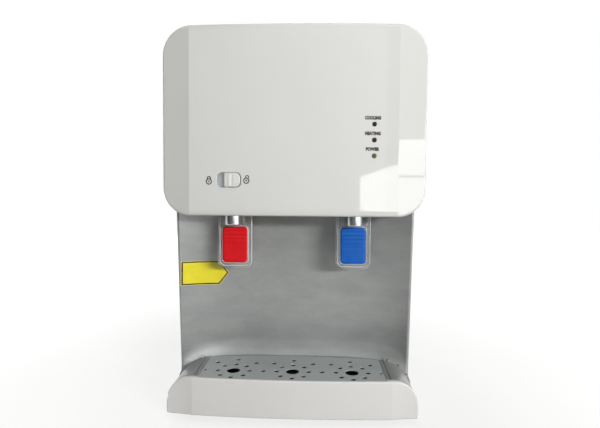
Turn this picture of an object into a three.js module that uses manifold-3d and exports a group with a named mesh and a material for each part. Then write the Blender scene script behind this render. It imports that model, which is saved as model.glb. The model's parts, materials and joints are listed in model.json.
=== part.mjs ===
// A countertop water dispenser: top-loading bottle, one hot and one cold tap.
//
// Millimetres, +Z up, the front faces -Y and +X is on the right seen from the front.
// Heights start at the floor. Depths (y) start at the plane of the front cover's two folds.
// The finished group is then centred on its own box.

import * as THREE from 'three';
import { mergeVertices } from 'three/addons/utils/BufferGeometryUtils.js';
import Module from 'manifold-3d';

const wasm = await Module();
wasm.setup();

// ---------------------------------------------------------------- walls and gaps
const GAP = 0.3; // between neighbouring pieces
const WALL = 2.5; // moulded plastic
const SHEET = 1.2; // folded steel
const OVER = 1; // how far a cutting solid runs past what it cuts

// ---------------------------------------------------------------- overall
const BODY_WIDTH = 300;
const FOOT_HEIGHT = 8;
const BASE_HEIGHT = 46; // underside of the pan to the tray deck
const BAY_HEIGHT = 193.5; // tray deck to the underside of the front cover
const COVER_HEIGHT = 220.5;
const TOP_DROP = 6; // top cover below the front cover's top edge
const HALF = BODY_WIDTH / 2;
const DECK_Z = FOOT_HEIGHT + BASE_HEIGHT;
const COVER_BOTTOM = DECK_Z + BAY_HEIGHT;
const COVER_TOP = COVER_BOTTOM + COVER_HEIGHT;
const BODY_TOP = COVER_TOP - TOP_DROP;

// ---------------------------------------------------------------- front cover
const COVER_OVERHANG = 5; // past the body on each side
const COVER_FACET = 33.4; // width of a side facet
const COVER = {
  half: HALF + COVER_OVERHANG,
  fold: HALF + COVER_OVERHANG - COVER_FACET, // from the middle to a fold
  bulge: 4, // the middle stands this far in front of the folds
  drop: 7, // the side facets fall back this far
  rimY: 20,
  radius: 33,
};
const GUIDE_WALL = 2; // the rails that hold the lock slider
const GUIDE_DEPTH = 6;

// ---------------------------------------------------------------- base
const PAN_HEIGHT = 20;
const PAN_FLOOR = 3;
const FASCIA_OVERHANG = 1;
const FASCIA_FACET = 32;
const FASCIA = {
  half: HALF + FASCIA_OVERHANG,
  fold: HALF + FASCIA_OVERHANG - FASCIA_FACET,
  bulge: 4.2,
  drop: 4,
  rimY: 6,
  radius: 31,
};
const FOOT_RADIUS = 12;
const FOOT_STEM_RADIUS = 3;
const FOOT_INSET = 34; // foot centres from the body's sides and ends

// ---------------------------------------------------------------- bay panel
const BAY = {
  edgeY: 57, // side edges at deck level
  depth: 28, // the middle lies this far behind the side edges
  power: 4, // how flat the middle is
  lean: 0.088, // it comes forward this much for each unit of height
  lip: 3, // rounding of its side edges
  returns: 16, // its sides run this far back
  above: 50, // it goes on up behind the front cover
};
const BAY_TOP = COVER_BOTTOM + BAY.above;
const HOOD = { radius: 27, slotHalf: 23, slotBackY: 50 }; // closes the front cover from below
const STEP_RISE = 12; // the side panels step forward to the cover over this height
const STEP_ABOVE = 5; // and start this far above the cover's lower corners

// ---------------------------------------------------------------- drip tray and grille
const DECK_WING = 37.5; // beside the grille
const GRILLE_HALF = HALF - DECK_WING;
const GRILLE_THICKNESS = 2;
const GRILLE_BACK_Y = 76; // rear edge in the middle
const GRILLE_BOW = 7.5; // and this much less at its ends
const TRAY_FLANGE = 2;
const TRAY_LEDGE = 6; // width of the ledge that carries the flange
const TRAY_LEDGE_THICKNESS = 2.4;
const TRAY_DEPTH = 21.5;
const TRAY_WALL = 2;
const HOLE_ROW_Y = 24.5;
const BIG_HOLE_RADIUS = 8.2;
const SMALL_HOLE_RADIUS = 2;
const INNER_RING_RADIUS = 19.8;
const OUTER_RING_RADIUS = 35.5;

// ---------------------------------------------------------------- taps
const TAP_X = 73.4; // also the pitch of the grille's three rings
const TAP_Y = 19; // spout axis
const TAP_Z = 272; // axis of the shank
const TAP_RADIUS = 10;
const TAP_BORE = 6;
const SEAT_BORE = 4.2; // above the valve's plug
const TAP_ROOM = 2; // round a tap where it passes the front cover's rim
const SPOUT_DROP = 36.5;
const TAP_HEAD = 13;
const SHANK_RADIUS = 7.7;
const SHANK_BORE = 4;
const SHANK_TAIL = 12; // behind the panel's boss
const COLLAR_RADIUS = 13;
const COLLAR_THICKNESS = 3;
const BOSS_RADIUS = 16; // flat pad on the bay panel
const BOSS_LENGTH = 9;
const NUT_RADIUS = 13;
const NUT_THICKNESS = 7;
const LUG_HALF = 9;
const PIVOT_Y = 21; // behind the spout axis
const PIVOT_Z = 18; // above the shank axis
const PIN_RADIUS = 2;
const PIN_CLEARANCE = 0.05;
const CHEEK_INNER = 11;
const CHEEK_THICKNESS = 3;
const PADDLE = {
  half: 21.3,
  frontY: 12,
  thickness: 5,
  top: -16, // below the shank axis
  bottom: -90.5,
  radius: 9,
};
const INSERT = { half: 15.5, height: 44.6, rise: 6.4, radius: 4, proud: 1.2 };
const BRIDGE_THICKNESS = 3;
const BRIDGE_FRONT_Y = -6;
const STEM_RADIUS = 2.6;
const STEM_HEAD_RADIUS = 6;
const STEM_HEAD_THICKNESS = 2.5;
const STEM_BUTTON_RADIUS = 2;
const STEM_BUTTON = 2;
const STEM_RISE = 12; // underside of the head above the tap's head
const PLUG_RADIUS = 5.4;
const PLUG_THICKNESS = 5;
const PLUG_DEPTH = 14; // below the shank axis
const SPRING = { radius: 4.4, wire: 0.6, turns: 4 };

// ---------------------------------------------------------------- controls
const LOCK_X = -74.1;
const LOCK_Z = 289.3;
const SLOT_HALF = 14.3;
const SLOT_HALF_HEIGHT = 8.75;
const SLOT_RADIUS = 6;
const KNOB_WIDTH = 20;
const KNOB_PROUD = 1.6;
const LOCK_TRAVEL = 7.6;
const SLIDER_PLATE = 2;
const SLIDER_OVERLAP = 3.5; // the plate is this much larger than the slot
const LOCK_TONGUE = 7;
const LOCK_TONGUE_HEIGHT = 3;
const LAMP_X = 93.3;
const LAMP_TOP_Z = 354.1;
const LAMP_PITCH = 18.1;
const LAMP_RADIUS = 2.6;
const LAMP_PROUD = 0.9;
const LAMP_FLANGE = 3.8;
const LAMP_FLANGE_THICKNESS = 1;
const BOARD = { y: 8, thickness: 1.6, half: 12, margin: 11 };
const BOARD_POST_RADIUS = 2.5;
const MARKER_INSET = 3.6; // from the body's side
const MARKER_LENGTH = 44.7; // without its point
const MARKER_POINT = 10.2;
const MARKER = {
  left: MARKER_INSET - HALF,
  shoulder: MARKER_INSET + MARKER_LENGTH - HALF,
  tip: MARKER_INSET + MARKER_LENGTH + MARKER_POINT - HALF,
  z: 169.5,
  height: 30,
  thickness: 0.4,
};

// ---------------------------------------------------------------- top cover and bottle seat
const SIDE_TOP_DROP = 32; // top of the side panels below the top cover
const TOP_RADIUS = 30;
const WELL_RADIUS = 112;
const WELL_STRAIGHT = 8;
const WELL_CONE = 34;
const NECK_STRAIGHT = 8;
const SEAT_LEDGE = 8;
const SEAT_DEPTH = 24;
const PROBE_RADIUS = 13;
const PROBE_WALL = 3;
const PROBE_HEIGHT = 30; // above the seat's flange
const WELL_Y = 172; // axis of the well and of the cold tank

// ---------------------------------------------------------------- cold water
const TANK_RADIUS = 68;
const NECK_PAST_TANK = 2; // the seat above is this much wider than the tank
const NECK_RADIUS = TANK_RADIUS + NECK_PAST_TANK;
const TANK_WALL = 1.5;
const TANK_HEIGHT = 130;
const FOAM_WALL = 19;
const FOAM_FLOOR = 10;
const PORT_RADIUS = 6;
const PORT_BORE = 4;
const PORT_BELOW_SHELF = 8;
const COLD_PORT = { x: 32, y: -42 }; // from the tank's axis
const SEPARATOR_RISE = 55;
const SEPARATOR_TUBE_RADIUS = 6;
const BLOCK_SIZE = 50;
const BLOCK_DEPTH = 16; // at its middle
const PELTIER_SIZE = 40;
const PELTIER_THICKNESS = 4;
const SINK_SIZE = 100;
const SINK_BASE = 5;
const SINK_FIN_LENGTH = 20;
const SINK_FIN = 1.6;
const SINK_FINS = 13;
const FAN = { size: 92, depth: 25, bore: 43, hub: 17, blades: 7, strut: 5, mount: 3 };
const SHELF_FRONT_Y = 114;
const SHELF_FLANGE = 14;

// ---------------------------------------------------------------- hot water
const HOT_INSET = 88; // tank axis from the body's side
const HOT_X = HOT_INSET - HALF;
const HOT_Y = 190;
const HOT_RADIUS = 45;
const HOT_BOTTOM = 68;
const HOT_HEIGHT = 134;
const HOT_NECK = 20;
const JACKET_RADIUS = 60;
const JACKET_WALL = 8;
const SIDE_PORT_Z = 86;
const SIDE_PORT_OUT = 3; // past the jacket
const HEATER_Z = [104, 140];
const THERMOSTAT = { z: 165, radius: 8 };
const STAND_HALF = 52;
const STAND_FOOT = 12;
const HOSE_RADIUS = 6;
const HOSE_BORE = 4;

// ---------------------------------------------------------------- back
const REAR_INSET = 54; // inlet and switches from the body's side
const INLET = { x: HALF - REAR_INSET, z: 52, halfWidth: 15, halfHeight: 12, depth: 26, socket: 17, flange: 2 };
const INLET_SOCKET = { half: 12.1, halfHeight: 8.2, pinHalf: 2, pinHalfHeight: 1, pinPitch: 7, pin: 13 };
const SWITCHES = { x: HALF - REAR_INSET, z: 104, pitch: 22, half: 7, halfHeight: 10, depth: 16, rim: 3.5, flange: 2 };
const ROCKER = { proud: 0.6, deep: 7, tilt: 9, play: 1.5 };
const DRAIN = { x: HOT_X, z: 52, radius: 9, bore: 5, flange: 14, flangeThickness: 2.5, out: 14, inside: 14 };
const DRAIN_CAP = { radius: 12, length: 12, end: 2.5 };
const GRIP = { y: 170, rise: 46.9, halfWidth: 48, halfHeight: 16, depth: 18 };
const LOUVRE = { count: 9, pitch: 9.5, half: 44, halfHeight: 2.2 };
const VENT = { count: 6, pitch: 9, halfWidth: 38, halfHeight: 2, z: 150 };
const POWER_BOARD = { x: 66, y: 210, halfWidth: 50, halfDepth: 38, thickness: 1.6, post: 6 };

// ---------------------------------------------------------------- looks
const LOOKS = {
  glossWhite: { color: 0xdcdcd6, roughness: 0.18, metalness: 0 },
  silver: { color: 0x9a9c9c, roughness: 0.38, metalness: 0.35 },
  grille: { color: 0x8b9092, roughness: 0.45, metalness: 0 },
  darkPlastic: { color: 0x2b2d2f, roughness: 0.55, metalness: 0 },
  clear: { color: 0xdfe6e8, roughness: 0.08, metalness: 0 },
  hotRed: { color: 0xd0101c, roughness: 0.3, metalness: 0 },
  coldBlue: { color: 0x1a5cb8, roughness: 0.3, metalness: 0 },
  chrome: { color: 0xd2d4d6, roughness: 0.12, metalness: 1 },
  steel: { color: 0xb4b7ba, roughness: 0.35, metalness: 1 },
  aluminium: { color: 0xc0c3c6, roughness: 0.4, metalness: 1 },
  zinc: { color: 0xc9ccce, roughness: 0.5, metalness: 0.8 },
  rubber: { color: 0x1f1f20, roughness: 0.85, metalness: 0 },
  silicone: { color: 0xd9dcd8, roughness: 0.5, metalness: 0 },
  foam: { color: 0xf0f0ec, roughness: 0.95, metalness: 0 },
  felt: { color: 0x6f6a62, roughness: 1, metalness: 0 },
  board: { color: 0x1f6b3a, roughness: 0.6, metalness: 0 },
  ceramic: { color: 0xf2f2ee, roughness: 0.6, metalness: 0 },
  yellow: { color: 0xf3e21c, roughness: 0.5, metalness: 0 },
  lampGreen: { color: 0x16281c, roughness: 0.2, metalness: 0 },
  lampRed: { color: 0x5a1518, roughness: 0.2, metalness: 0 },
  lampYellow: { color: 0x6c6a1e, roughness: 0.2, metalness: 0 },
};

// ================================================================ solids
const SEGMENTS = 24;
const FINE_SEGMENTS = 36;
const MERGE = 1e-4;

// A closed three.js geometry as a manifold-3d solid.
function solid(geometry) {
  const bare = new THREE.BufferGeometry();
  bare.setAttribute('position', geometry.getAttribute('position'));
  bare.setIndex(geometry.getIndex());
  const merged = mergeVertices(bare, MERGE);
  const index = merged.getIndex().array;
  const faces = [];
  for (let i = 0; i < index.length; i += 3) {
    const [a, b, c] = index.slice(i, i + 3);
    if (a !== b && b !== c && c !== a) faces.push(a, b, c);
  }
  return new wasm.Manifold(
    new wasm.Mesh({
      numProp: 3,
      vertProperties: merged.getAttribute('position').array,
      triVerts: new Uint32Array(faces),
    }),
  );
}

const join = (...solids) => solids.reduce((a, b) => a.add(b));
const cut = (body, ...tools) => tools.reduce((a, b) => a.subtract(b), body);
const common = (a, b) => a.intersect(b);
const moved = (body, x, y, z) => body.translate([x, y, z]);

function box([x0, x1], [y0, y1], [z0, z1]) {
  const geometry = new THREE.BoxGeometry(x1 - x0, y1 - y0, z1 - z0);
  geometry.translate((x0 + x1) / 2, (y0 + y1) / 2, (z0 + z1) / 2);
  return solid(geometry);
}

// A cylinder along an axis; centre gives its other two coordinates in x, y, z order.
function rod(axis, radius, [from, to], [a, b], segments = SEGMENTS) {
  const geometry = new THREE.CylinderGeometry(radius, radius, to - from, segments);
  const middle = (from + to) / 2;
  if (axis === 'x') geometry.rotateZ(Math.PI / 2).translate(middle, a, b);
  if (axis === 'y') geometry.translate(a, middle, b);
  if (axis === 'z') geometry.rotateX(Math.PI / 2).translate(a, b, middle);
  return solid(geometry);
}

// A flat shape given a thickness. Along z it is drawn in (x, y), along y in (x, z), along x in (y, z).
function extrude(shape, axis, [from, to], curveSegments = 6) {
  const depth = to - from;
  const geometry = new THREE.ExtrudeGeometry(shape, { depth, bevelEnabled: false, curveSegments });
  const X = new THREE.Vector3(1, 0, 0);
  const Y = new THREE.Vector3(0, 1, 0);
  const Z = new THREE.Vector3(0, 0, 1);
  const turn = new THREE.Matrix4();
  if (axis === 'x') geometry.applyMatrix4(turn.makeBasis(Y, Z, X)).translate(from, 0, 0);
  if (axis === 'y') geometry.applyMatrix4(turn.makeBasis(X, Z, Y.negate())).translate(0, to, 0);
  if (axis === 'z') geometry.translate(0, 0, from);
  return solid(geometry);
}

// A closed profile of [radius, height] points turned about the z axis, or about y.
function turned(profile, axis = 'z', segments = SEGMENTS) {
  const points = profile.map(([r, h]) => new THREE.Vector2(r, h));
  if (THREE.ShapeUtils.area(points) < 0) points.reverse();
  const geometry = new THREE.LatheGeometry([...points, points[0]], segments);
  if (axis === 'z') geometry.rotateX(Math.PI / 2);
  return solid(geometry);
}

// A hose or wire along a smooth curve through the points.
function tube(points, radius, bore, steps, sides) {
  const section = new THREE.Shape().absarc(0, 0, radius, 0, 2 * Math.PI);
  if (bore > 0) section.holes.push(new THREE.Path().absarc(0, 0, bore, 0, 2 * Math.PI, true));
  const extrudePath = new THREE.CatmullRomCurve3(points.map((p) => new THREE.Vector3(...p)));
  const settings = { steps, extrudePath, curveSegments: sides / 2 };
  return solid(new THREE.ExtrudeGeometry(section, settings));
}

function polygon(points) {
  return new THREE.Shape(points.map(([a, b]) => new THREE.Vector2(a, b)));
}

// A rectangle from -half to half and from low to high, with its own top and bottom corner radii.
function panelOutline(half, low, high, topRadius, bottomRadius) {
  const shape = new THREE.Shape();
  shape.moveTo(-half + bottomRadius, low);
  shape.lineTo(half - bottomRadius, low);
  shape.absarc(half - bottomRadius, low + bottomRadius, bottomRadius, -Math.PI / 2, 0);
  shape.lineTo(half, high - topRadius);
  shape.absarc(half - topRadius, high - topRadius, topRadius, 0, Math.PI / 2);
  shape.lineTo(-half + topRadius, high);
  shape.absarc(-half + topRadius, high - topRadius, topRadius, Math.PI / 2, Math.PI);
  shape.lineTo(-half, low + bottomRadius);
  shape.absarc(-half + bottomRadius, low + bottomRadius, bottomRadius, Math.PI, (3 * Math.PI) / 2);
  return shape;
}

// The arc that bows `bulge` forward between two folds.
function bow({ fold, bulge }) {
  const radius = (fold * fold + bulge * bulge) / (2 * bulge);
  return { radius, centreY: radius - bulge };
}

// The front surface of a folded cover at x, between its folds.
function bowY(front, x) {
  const { radius, centreY } = bow(front);
  return centreY - Math.sqrt(radius * radius - x * x);
}

// The plan of a folded cover: bowed between the folds, with facets that fall back beside them.
function facetPlan(front, half, shift, backY) {
  const { radius, centreY } = bow(front);
  const swing = Math.asin(front.fold / radius);
  const sideY = front.drop * ((half - front.fold) / (front.half - front.fold)) + shift;
  const shape = new THREE.Shape();
  shape.moveTo(-half, backY);
  shape.lineTo(-half, sideY);
  shape.absarc(0, centreY + shift, radius, -Math.PI / 2 - swing, -Math.PI / 2 + swing);
  shape.lineTo(half, sideY);
  shape.lineTo(half, backY);
  return shape;
}

// A folded cover: a shell open at the back, low to high.
function foldedCover(front, low, high, bottomRadius) {
  const frontY = -front.bulge - OVER;
  const layer = (inset, backY) =>
    common(
      extrude(
        panelOutline(
          front.half - inset,
          low + inset,
          high - inset,
          front.radius - inset,
          Math.max(bottomRadius - inset, GAP),
        ),
        'y',
        [frontY, backY],
        5,
      ),
      extrude(facetPlan(front, front.half - inset, inset, backY), 'z', [low, high], 8),
    );
  return cut(layer(0, front.rimY), layer(WALL, front.rimY + OVER));
}

// ================================================================ the model
const dispenser = new THREE.Group();

function addPiece(name, body, look, parent = dispenser) {
  const { vertProperties, triVerts } = body.getMesh();
  const geometry = new THREE.BufferGeometry();
  geometry.setAttribute('position', new THREE.BufferAttribute(vertProperties, 3));
  geometry.setIndex(new THREE.BufferAttribute(triVerts, 1));
  geometry.computeVertexNormals();
  const mesh = new THREE.Mesh(geometry, new THREE.MeshStandardMaterial(LOOKS[look]));
  mesh.name = name;
  parent.add(mesh);
  return mesh;
}

// Places worked out from the sizes above.
const PAN_TOP = FOOT_HEIGHT + PAN_HEIGHT;
const PAN_FLOOR_Z = FOOT_HEIGHT + PAN_FLOOR;
const PAN_FRONT_Y = FASCIA.rimY + GAP;
const SIDE_INNER = HALF - WALL;
const SIDE_TOP = BODY_TOP - SIDE_TOP_DROP;
const LEDGE_Z = BODY_TOP - WELL_STRAIGHT - WELL_CONE; // where the bottle seat's flange rests
const NECK_BOTTOM = LEDGE_Z - NECK_STRAIGHT;
const TANK_TOP = NECK_BOTTOM - GAP;
const TANK_BOTTOM = TANK_TOP - TANK_HEIGHT;
const SHELF_TOP = TANK_BOTTOM - GAP - FOAM_FLOOR - GAP;
const GRIP_Z = SHELF_TOP + GRIP.rise;
const PORT_BOTTOM = SHELF_TOP - SHEET - PORT_BELOW_SHELF;
const COOLER_Z = TANK_BOTTOM + TANK_HEIGHT / 2;
const BLOCK_BACK_Y = WELL_Y + TANK_RADIUS + GAP + BLOCK_DEPTH;
const PELTIER_Y = BLOCK_BACK_Y + GAP;
const SINK_Y = PELTIER_Y + PELTIER_THICKNESS + GAP;
const FAN_Y = SINK_Y + SINK_BASE + SINK_FIN_LENGTH + GAP;
const BACK_INNER_Y = FAN_Y + FAN.depth + GAP;
const BACK_Y = BACK_INNER_Y + SHEET;
const STAND_TOP = HOT_BOTTOM - GAP;
const STEP_Z = COVER_BOTTOM + COVER.radius + STEP_ABOVE;

// The bay panel's front surface at x and height z.
function bayY(x, z) {
  const flat = HALF - BAY.lip;
  const share = Math.min(Math.abs(x) / flat, 1);
  return BAY.edgeY + BAY.depth * (1 - share ** BAY.power) - BAY.lean * (z - DECK_Z);
}

// Leans an upright solid the way the bay panel leans.
function leaned(body) {
  const { lean } = BAY;
  return body.transform([1, 0, 0, 0, 0, 1, 0, 0, 0, -lean, 1, 0, 0, lean * DECK_Z, 0, 1]);
}

// The bay panel's curve across the body at deck level, from right to left, moved back by shift.
function bayCurve(half, shift, steps = 28) {
  const points = [];
  for (let i = 0; i <= steps; i += 1) {
    const x = half * Math.cos((Math.PI * i) / steps);
    points.push([x, bayY(x, DECK_Z) + shift]);
  }
  return points;
}

// The plan of the bay panel, with its rounded side edges and its returns.
function bayPlan() {
  const backY = BAY.edgeY + BAY.returns;
  const front = bayCurve(HALF - BAY.lip, 0).reverse();
  const rear = bayCurve(SIDE_INNER, WALL);
  const sideY = BAY.edgeY + BAY.lip;
  return polygon([
    [-HALF, backY],
    [-HALF, sideY],
    ...front,
    [HALF, sideY],
    [HALF, backY],
    [SIDE_INNER, backY],
    ...rear,
    [-SIDE_INNER, backY],
  ]);
}

// Everything above low, in front of the bay panel's rear surface and its returns' rear edges.
function bayFrontRegion(low) {
  const backY = BAY.edgeY + BAY.returns;
  const plan = polygon([
    [-HALF - OVER, -HALF],
    [HALF + OVER, -HALF],
    [HALF + OVER, backY],
    [SIDE_INNER, backY],
    ...bayCurve(SIDE_INNER, WALL),
    [-SIDE_INNER, backY],
    [-HALF - OVER, backY],
  ]);
  return leaned(extrude(plan, 'z', [low, BAY_TOP]));
}

// The outline of the grille and of everything that holds it, drawn in by sideInset and frontInset.
function trayOutline(sideInset, frontInset = sideInset) {
  const half = GRILLE_HALF - sideInset;
  const { radius, centreY } = bow(FASCIA);
  const frontRadius = radius - WALL - GAP - frontInset;
  const frontSwing = Math.asin(half / frontRadius);
  const backRadius = (GRILLE_HALF ** 2 + GRILLE_BOW ** 2) / (2 * GRILLE_BOW);
  const backSwing = Math.asin(half / (backRadius - sideInset));
  const shape = new THREE.Shape();
  shape.absarc(0, centreY, frontRadius, -Math.PI / 2 - frontSwing, -Math.PI / 2 + frontSwing);
  shape.absarc(
    0,
    GRILLE_BACK_Y - backRadius,
    backRadius - sideInset,
    Math.PI / 2 - backSwing,
    Math.PI / 2 + backSwing,
  );
  return shape;
}

// ---------------------------------------------------------------- base
function buildBase() {
  const outer = box([-HALF, HALF], [PAN_FRONT_Y, BACK_Y], [FOOT_HEIGHT, PAN_TOP]);
  const inner = box(
    [-SIDE_INNER, SIDE_INNER],
    [PAN_FRONT_Y + WALL, BACK_Y - WALL],
    [PAN_FLOOR_Z, PAN_TOP + OVER],
  );
  const feet = [
    ['foot_front_left', -1, PAN_FRONT_Y + FOOT_INSET],
    ['foot_front_right', 1, PAN_FRONT_Y + FOOT_INSET],
    ['foot_rear_left', -1, BACK_Y - FOOT_INSET],
    ['foot_rear_right', 1, BACK_Y - FOOT_INSET],
  ];
  const stemHoles = feet.map(([, side, y]) =>
    rod('z', FOOT_STEM_RADIUS + GAP, [0, PAN_TOP], [side * (HALF - FOOT_INSET), y], 12),
  );
  addPiece('base_pan', cut(outer, inner, ...stemHoles), 'glossWhite');

  const top = FOOT_HEIGHT - GAP;
  const chamfer = FOOT_RADIUS / 6;
  const foot = turned(
    [
      [0, 0],
      [FOOT_RADIUS - chamfer, 0],
      [FOOT_RADIUS, chamfer],
      [FOOT_RADIUS, top],
      [FOOT_STEM_RADIUS, top],
      [FOOT_STEM_RADIUS, PAN_FLOOR_Z + PAN_FLOOR],
      [0, PAN_FLOOR_Z + PAN_FLOOR],
    ],
    'z',
    24,
  );
  for (const [name, side, y] of feet) {
    addPiece(name, foot, 'rubber').position.set(side * (HALF - FOOT_INSET), y, 0);
  }
}

function buildFascia() {
  const band = foldedCover(FASCIA, FOOT_HEIGHT, DECK_Z, BAY.lip);
  const opening = extrude(trayOutline(-GAP), 'z', [PAN_TOP, DECK_Z + OVER]);
  addPiece('base_fascia', cut(band, opening), 'glossWhite');
}

// ---------------------------------------------------------------- bay panel, tray, grille
const GRILLE_Z = DECK_Z - GRILLE_THICKNESS;
const FLANGE_Z = GRILLE_Z - GAP - TRAY_FLANGE;
const LEDGE_TOP_Z = FLANGE_Z - GAP;
const TRAY_BOTTOM_Z = GRILLE_Z - GAP - TRAY_DEPTH;

function buildBayPanel() {
  const low = PAN_TOP + GAP;
  const frontY = PAN_FRONT_Y;
  const backY = BAY.edgeY + BAY.depth + WALL;
  const shoulder = FASCIA.radius - FASCIA_OVERHANG;
  const arch = (inset) =>
    extrude(panelOutline(HALF - inset, 0, DECK_Z - inset, shoulder - inset, GAP), 'y', [
      frontY - inset,
      backY + inset,
    ]);
  const deck = common(cut(arch(0), arch(WALL)), bayFrontRegion(low));
  const wall = leaned(extrude(bayPlan(), 'z', [low, BAY_TOP]));

  const ledge = extrude(trayOutline(-GAP - WALL, 0), 'z', [
    LEDGE_TOP_Z - TRAY_LEDGE_THICKNESS,
    DECK_Z - WALL,
  ]);
  const opening = extrude(trayOutline(-GAP, -GAP), 'z', [LEDGE_TOP_Z, DECK_Z + OVER]);
  const well = extrude(trayOutline(TRAY_LEDGE), 'z', [low, DECK_Z + OVER]);

  const pads = [];
  const holes = [];
  for (const x of [-TAP_X, TAP_X]) {
    pads.push(rod('y', BOSS_RADIUS, [BOSS_Y, BOSS_Y + BOSS_LENGTH], [x, TAP_Z]));
    holes.push(rod('y', SHANK_RADIUS + GAP, [0, BACK_Y], [x, TAP_Z]));
  }
  const edge = SIDE_INNER - GAP;
  const sideCuts = [-1, 1].map((side) => {
    const x = [side * edge, side * (HALF + OVER)].sort((a, b) => a - b);
    return box(x, [-OVER, BACK_Y], [STEP_Z - GAP, BAY_TOP + OVER]);
  });
  const body = cut(
    join(deck, wall, ledge, ...pads, hood(edge)),
    opening,
    well,
    ...holes,
    ...sideCuts,
  );
  addPiece('front_bay_panel', body, 'silver');
}

// The ceiling of the bay: it carries the front cover's outline on to the wall, with room for the taps.
function hood(half) {
  const frontY = COVER.rimY + GAP;
  const backY = BAY.edgeY + BAY.depth;
  const low = COVER_BOTTOM + GAP;
  const ring = (inset) =>
    extrude(
      panelOutline(half - inset, low + inset, BAY_TOP + inset, GAP, HOOD.radius - inset),
      'y',
      [frontY - inset, backY + inset],
    );
  const slots = [-TAP_X, TAP_X].map((x) =>
    box([x - HOOD.slotHalf, x + HOOD.slotHalf], [0, HOOD.slotBackY], [low - OVER, TAP_Z]),
  );
  return cut(common(cut(ring(0), ring(WALL)), bayFrontRegion(low)), ...slots);
}

function buildTray() {
  const flange = extrude(trayOutline(GAP), 'z', [FLANGE_Z, FLANGE_Z + TRAY_FLANGE]);
  const wallInset = TRAY_LEDGE + GAP;
  const bucket = extrude(trayOutline(wallInset), 'z', [TRAY_BOTTOM_Z, FLANGE_Z + TRAY_FLANGE]);
  const hollow = extrude(trayOutline(wallInset + TRAY_WALL), 'z', [
    TRAY_BOTTOM_Z + TRAY_WALL,
    DECK_Z,
  ]);
  addPiece('drip_tray', cut(join(flange, bucket), hollow), 'darkPlastic');
}

function buildGrille() {
  const plate = extrude(trayOutline(0), 'z', [GRILLE_Z, DECK_Z]);
  const through = [GRILLE_Z - OVER, DECK_Z + OVER];
  const hole = (x, y) => rod('z', SMALL_HOLE_RADIUS, through, [x, y], 8);
  const holes = [];
  const ring = (centreX, radius, degrees) => {
    const angle = THREE.MathUtils.degToRad(degrees);
    holes.push(hole(centreX + radius * Math.cos(angle), HOLE_ROW_Y + radius * Math.sin(angle)));
  };
  for (const x of [-TAP_X, 0, TAP_X]) {
    holes.push(rod('z', BIG_HOLE_RADIUS, through, [x, HOLE_ROW_Y], 20));
    for (let i = 0; i < 8; i += 1) ring(x, INNER_RING_RADIUS, i * 45);
    for (const degrees of [45, 90, 135]) ring(x, OUTER_RING_RADIUS, degrees);
  }
  for (const between of [-1.5, -0.5, 0.5, 1.5]) holes.push(hole(between * TAP_X, HOLE_ROW_Y));
  addPiece('drip_grille', cut(plate, ...holes), 'grille');
}

// A pointed sticker that follows the bay panel.
function buildMarker() {
  const low = MARKER.z - MARKER.height / 2;
  const high = MARKER.z + MARKER.height / 2;
  const outline = polygon([
    [MARKER.left, low],
    [MARKER.shoulder, low],
    [MARKER.tip, MARKER.z],
    [MARKER.shoulder, high],
    [MARKER.left, high],
  ]);
  const band = polygon([
    ...bayCurve(HALF - BAY.lip, -GAP),
    ...bayCurve(HALF - BAY.lip, -GAP - MARKER.thickness).reverse(),
  ]);
  const skin = leaned(extrude(band, 'z', [DECK_Z, COVER_BOTTOM]));
  addPiece('hot_marker', common(skin, extrude(outline, 'y', [0, BACK_Y])), 'yellow');
}

// ---------------------------------------------------------------- taps
const BOSS_Y = bayY(TAP_X, TAP_Z) - (BOSS_LENGTH - WALL) / 2;
const BRIDGE_Z = TAP_HEAD + STEM_RISE + STEM_HEAD_THICKNESS + STEM_BUTTON + GAP;

function tapBody() {
  const bossY = BOSS_Y - TAP_Y;
  const shankEnd = bossY + BOSS_LENGTH + SHANK_TAIL;
  const upright = rod('z', TAP_RADIUS, [-SPOUT_DROP, TAP_HEAD], [0, 0]);
  const arm = rod('y', TAP_RADIUS, [0, bossY - GAP - COLLAR_THICKNESS], [0, 0]);
  const collarY = [bossY - GAP - COLLAR_THICKNESS, bossY - GAP];
  const collar = rod('y', COLLAR_RADIUS, collarY, [0, 0]);
  const shank = rod('y', SHANK_RADIUS, [0, shankEnd], [0, 0]);
  const lug = box(
    [-LUG_HALF, LUG_HALF],
    [PIVOT_Y - CHEEK_THICKNESS * 2, PIVOT_Y + CHEEK_THICKNESS * 2],
    [0, PIVOT_Z + PIN_RADIUS * 3],
  );
  const pinHole = rod('x', PIN_RADIUS + PIN_CLEARANCE, [-HALF, HALF], [PIVOT_Y, PIVOT_Z], 24);
  const spoutBore = rod('z', TAP_BORE, [-SPOUT_DROP - OVER, GAP - PLUG_DEPTH], [0, 0]);
  const seatBore = rod('z', SEAT_BORE, [-PLUG_DEPTH, TAP_RADIUS / 2], [0, 0], 16);
  const stemBore = rod('z', STEM_RADIUS + GAP, [0, TAP_HEAD + OVER], [0, 0], 16);
  const waterway = rod('y', SHANK_BORE, [0, shankEnd + OVER], [0, 0], 16);
  const bores = [pinHole, spoutBore, seatBore, stemBore, waterway];
  return cut(join(upright, arm, collar, shank, lug), ...bores);
}

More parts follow.
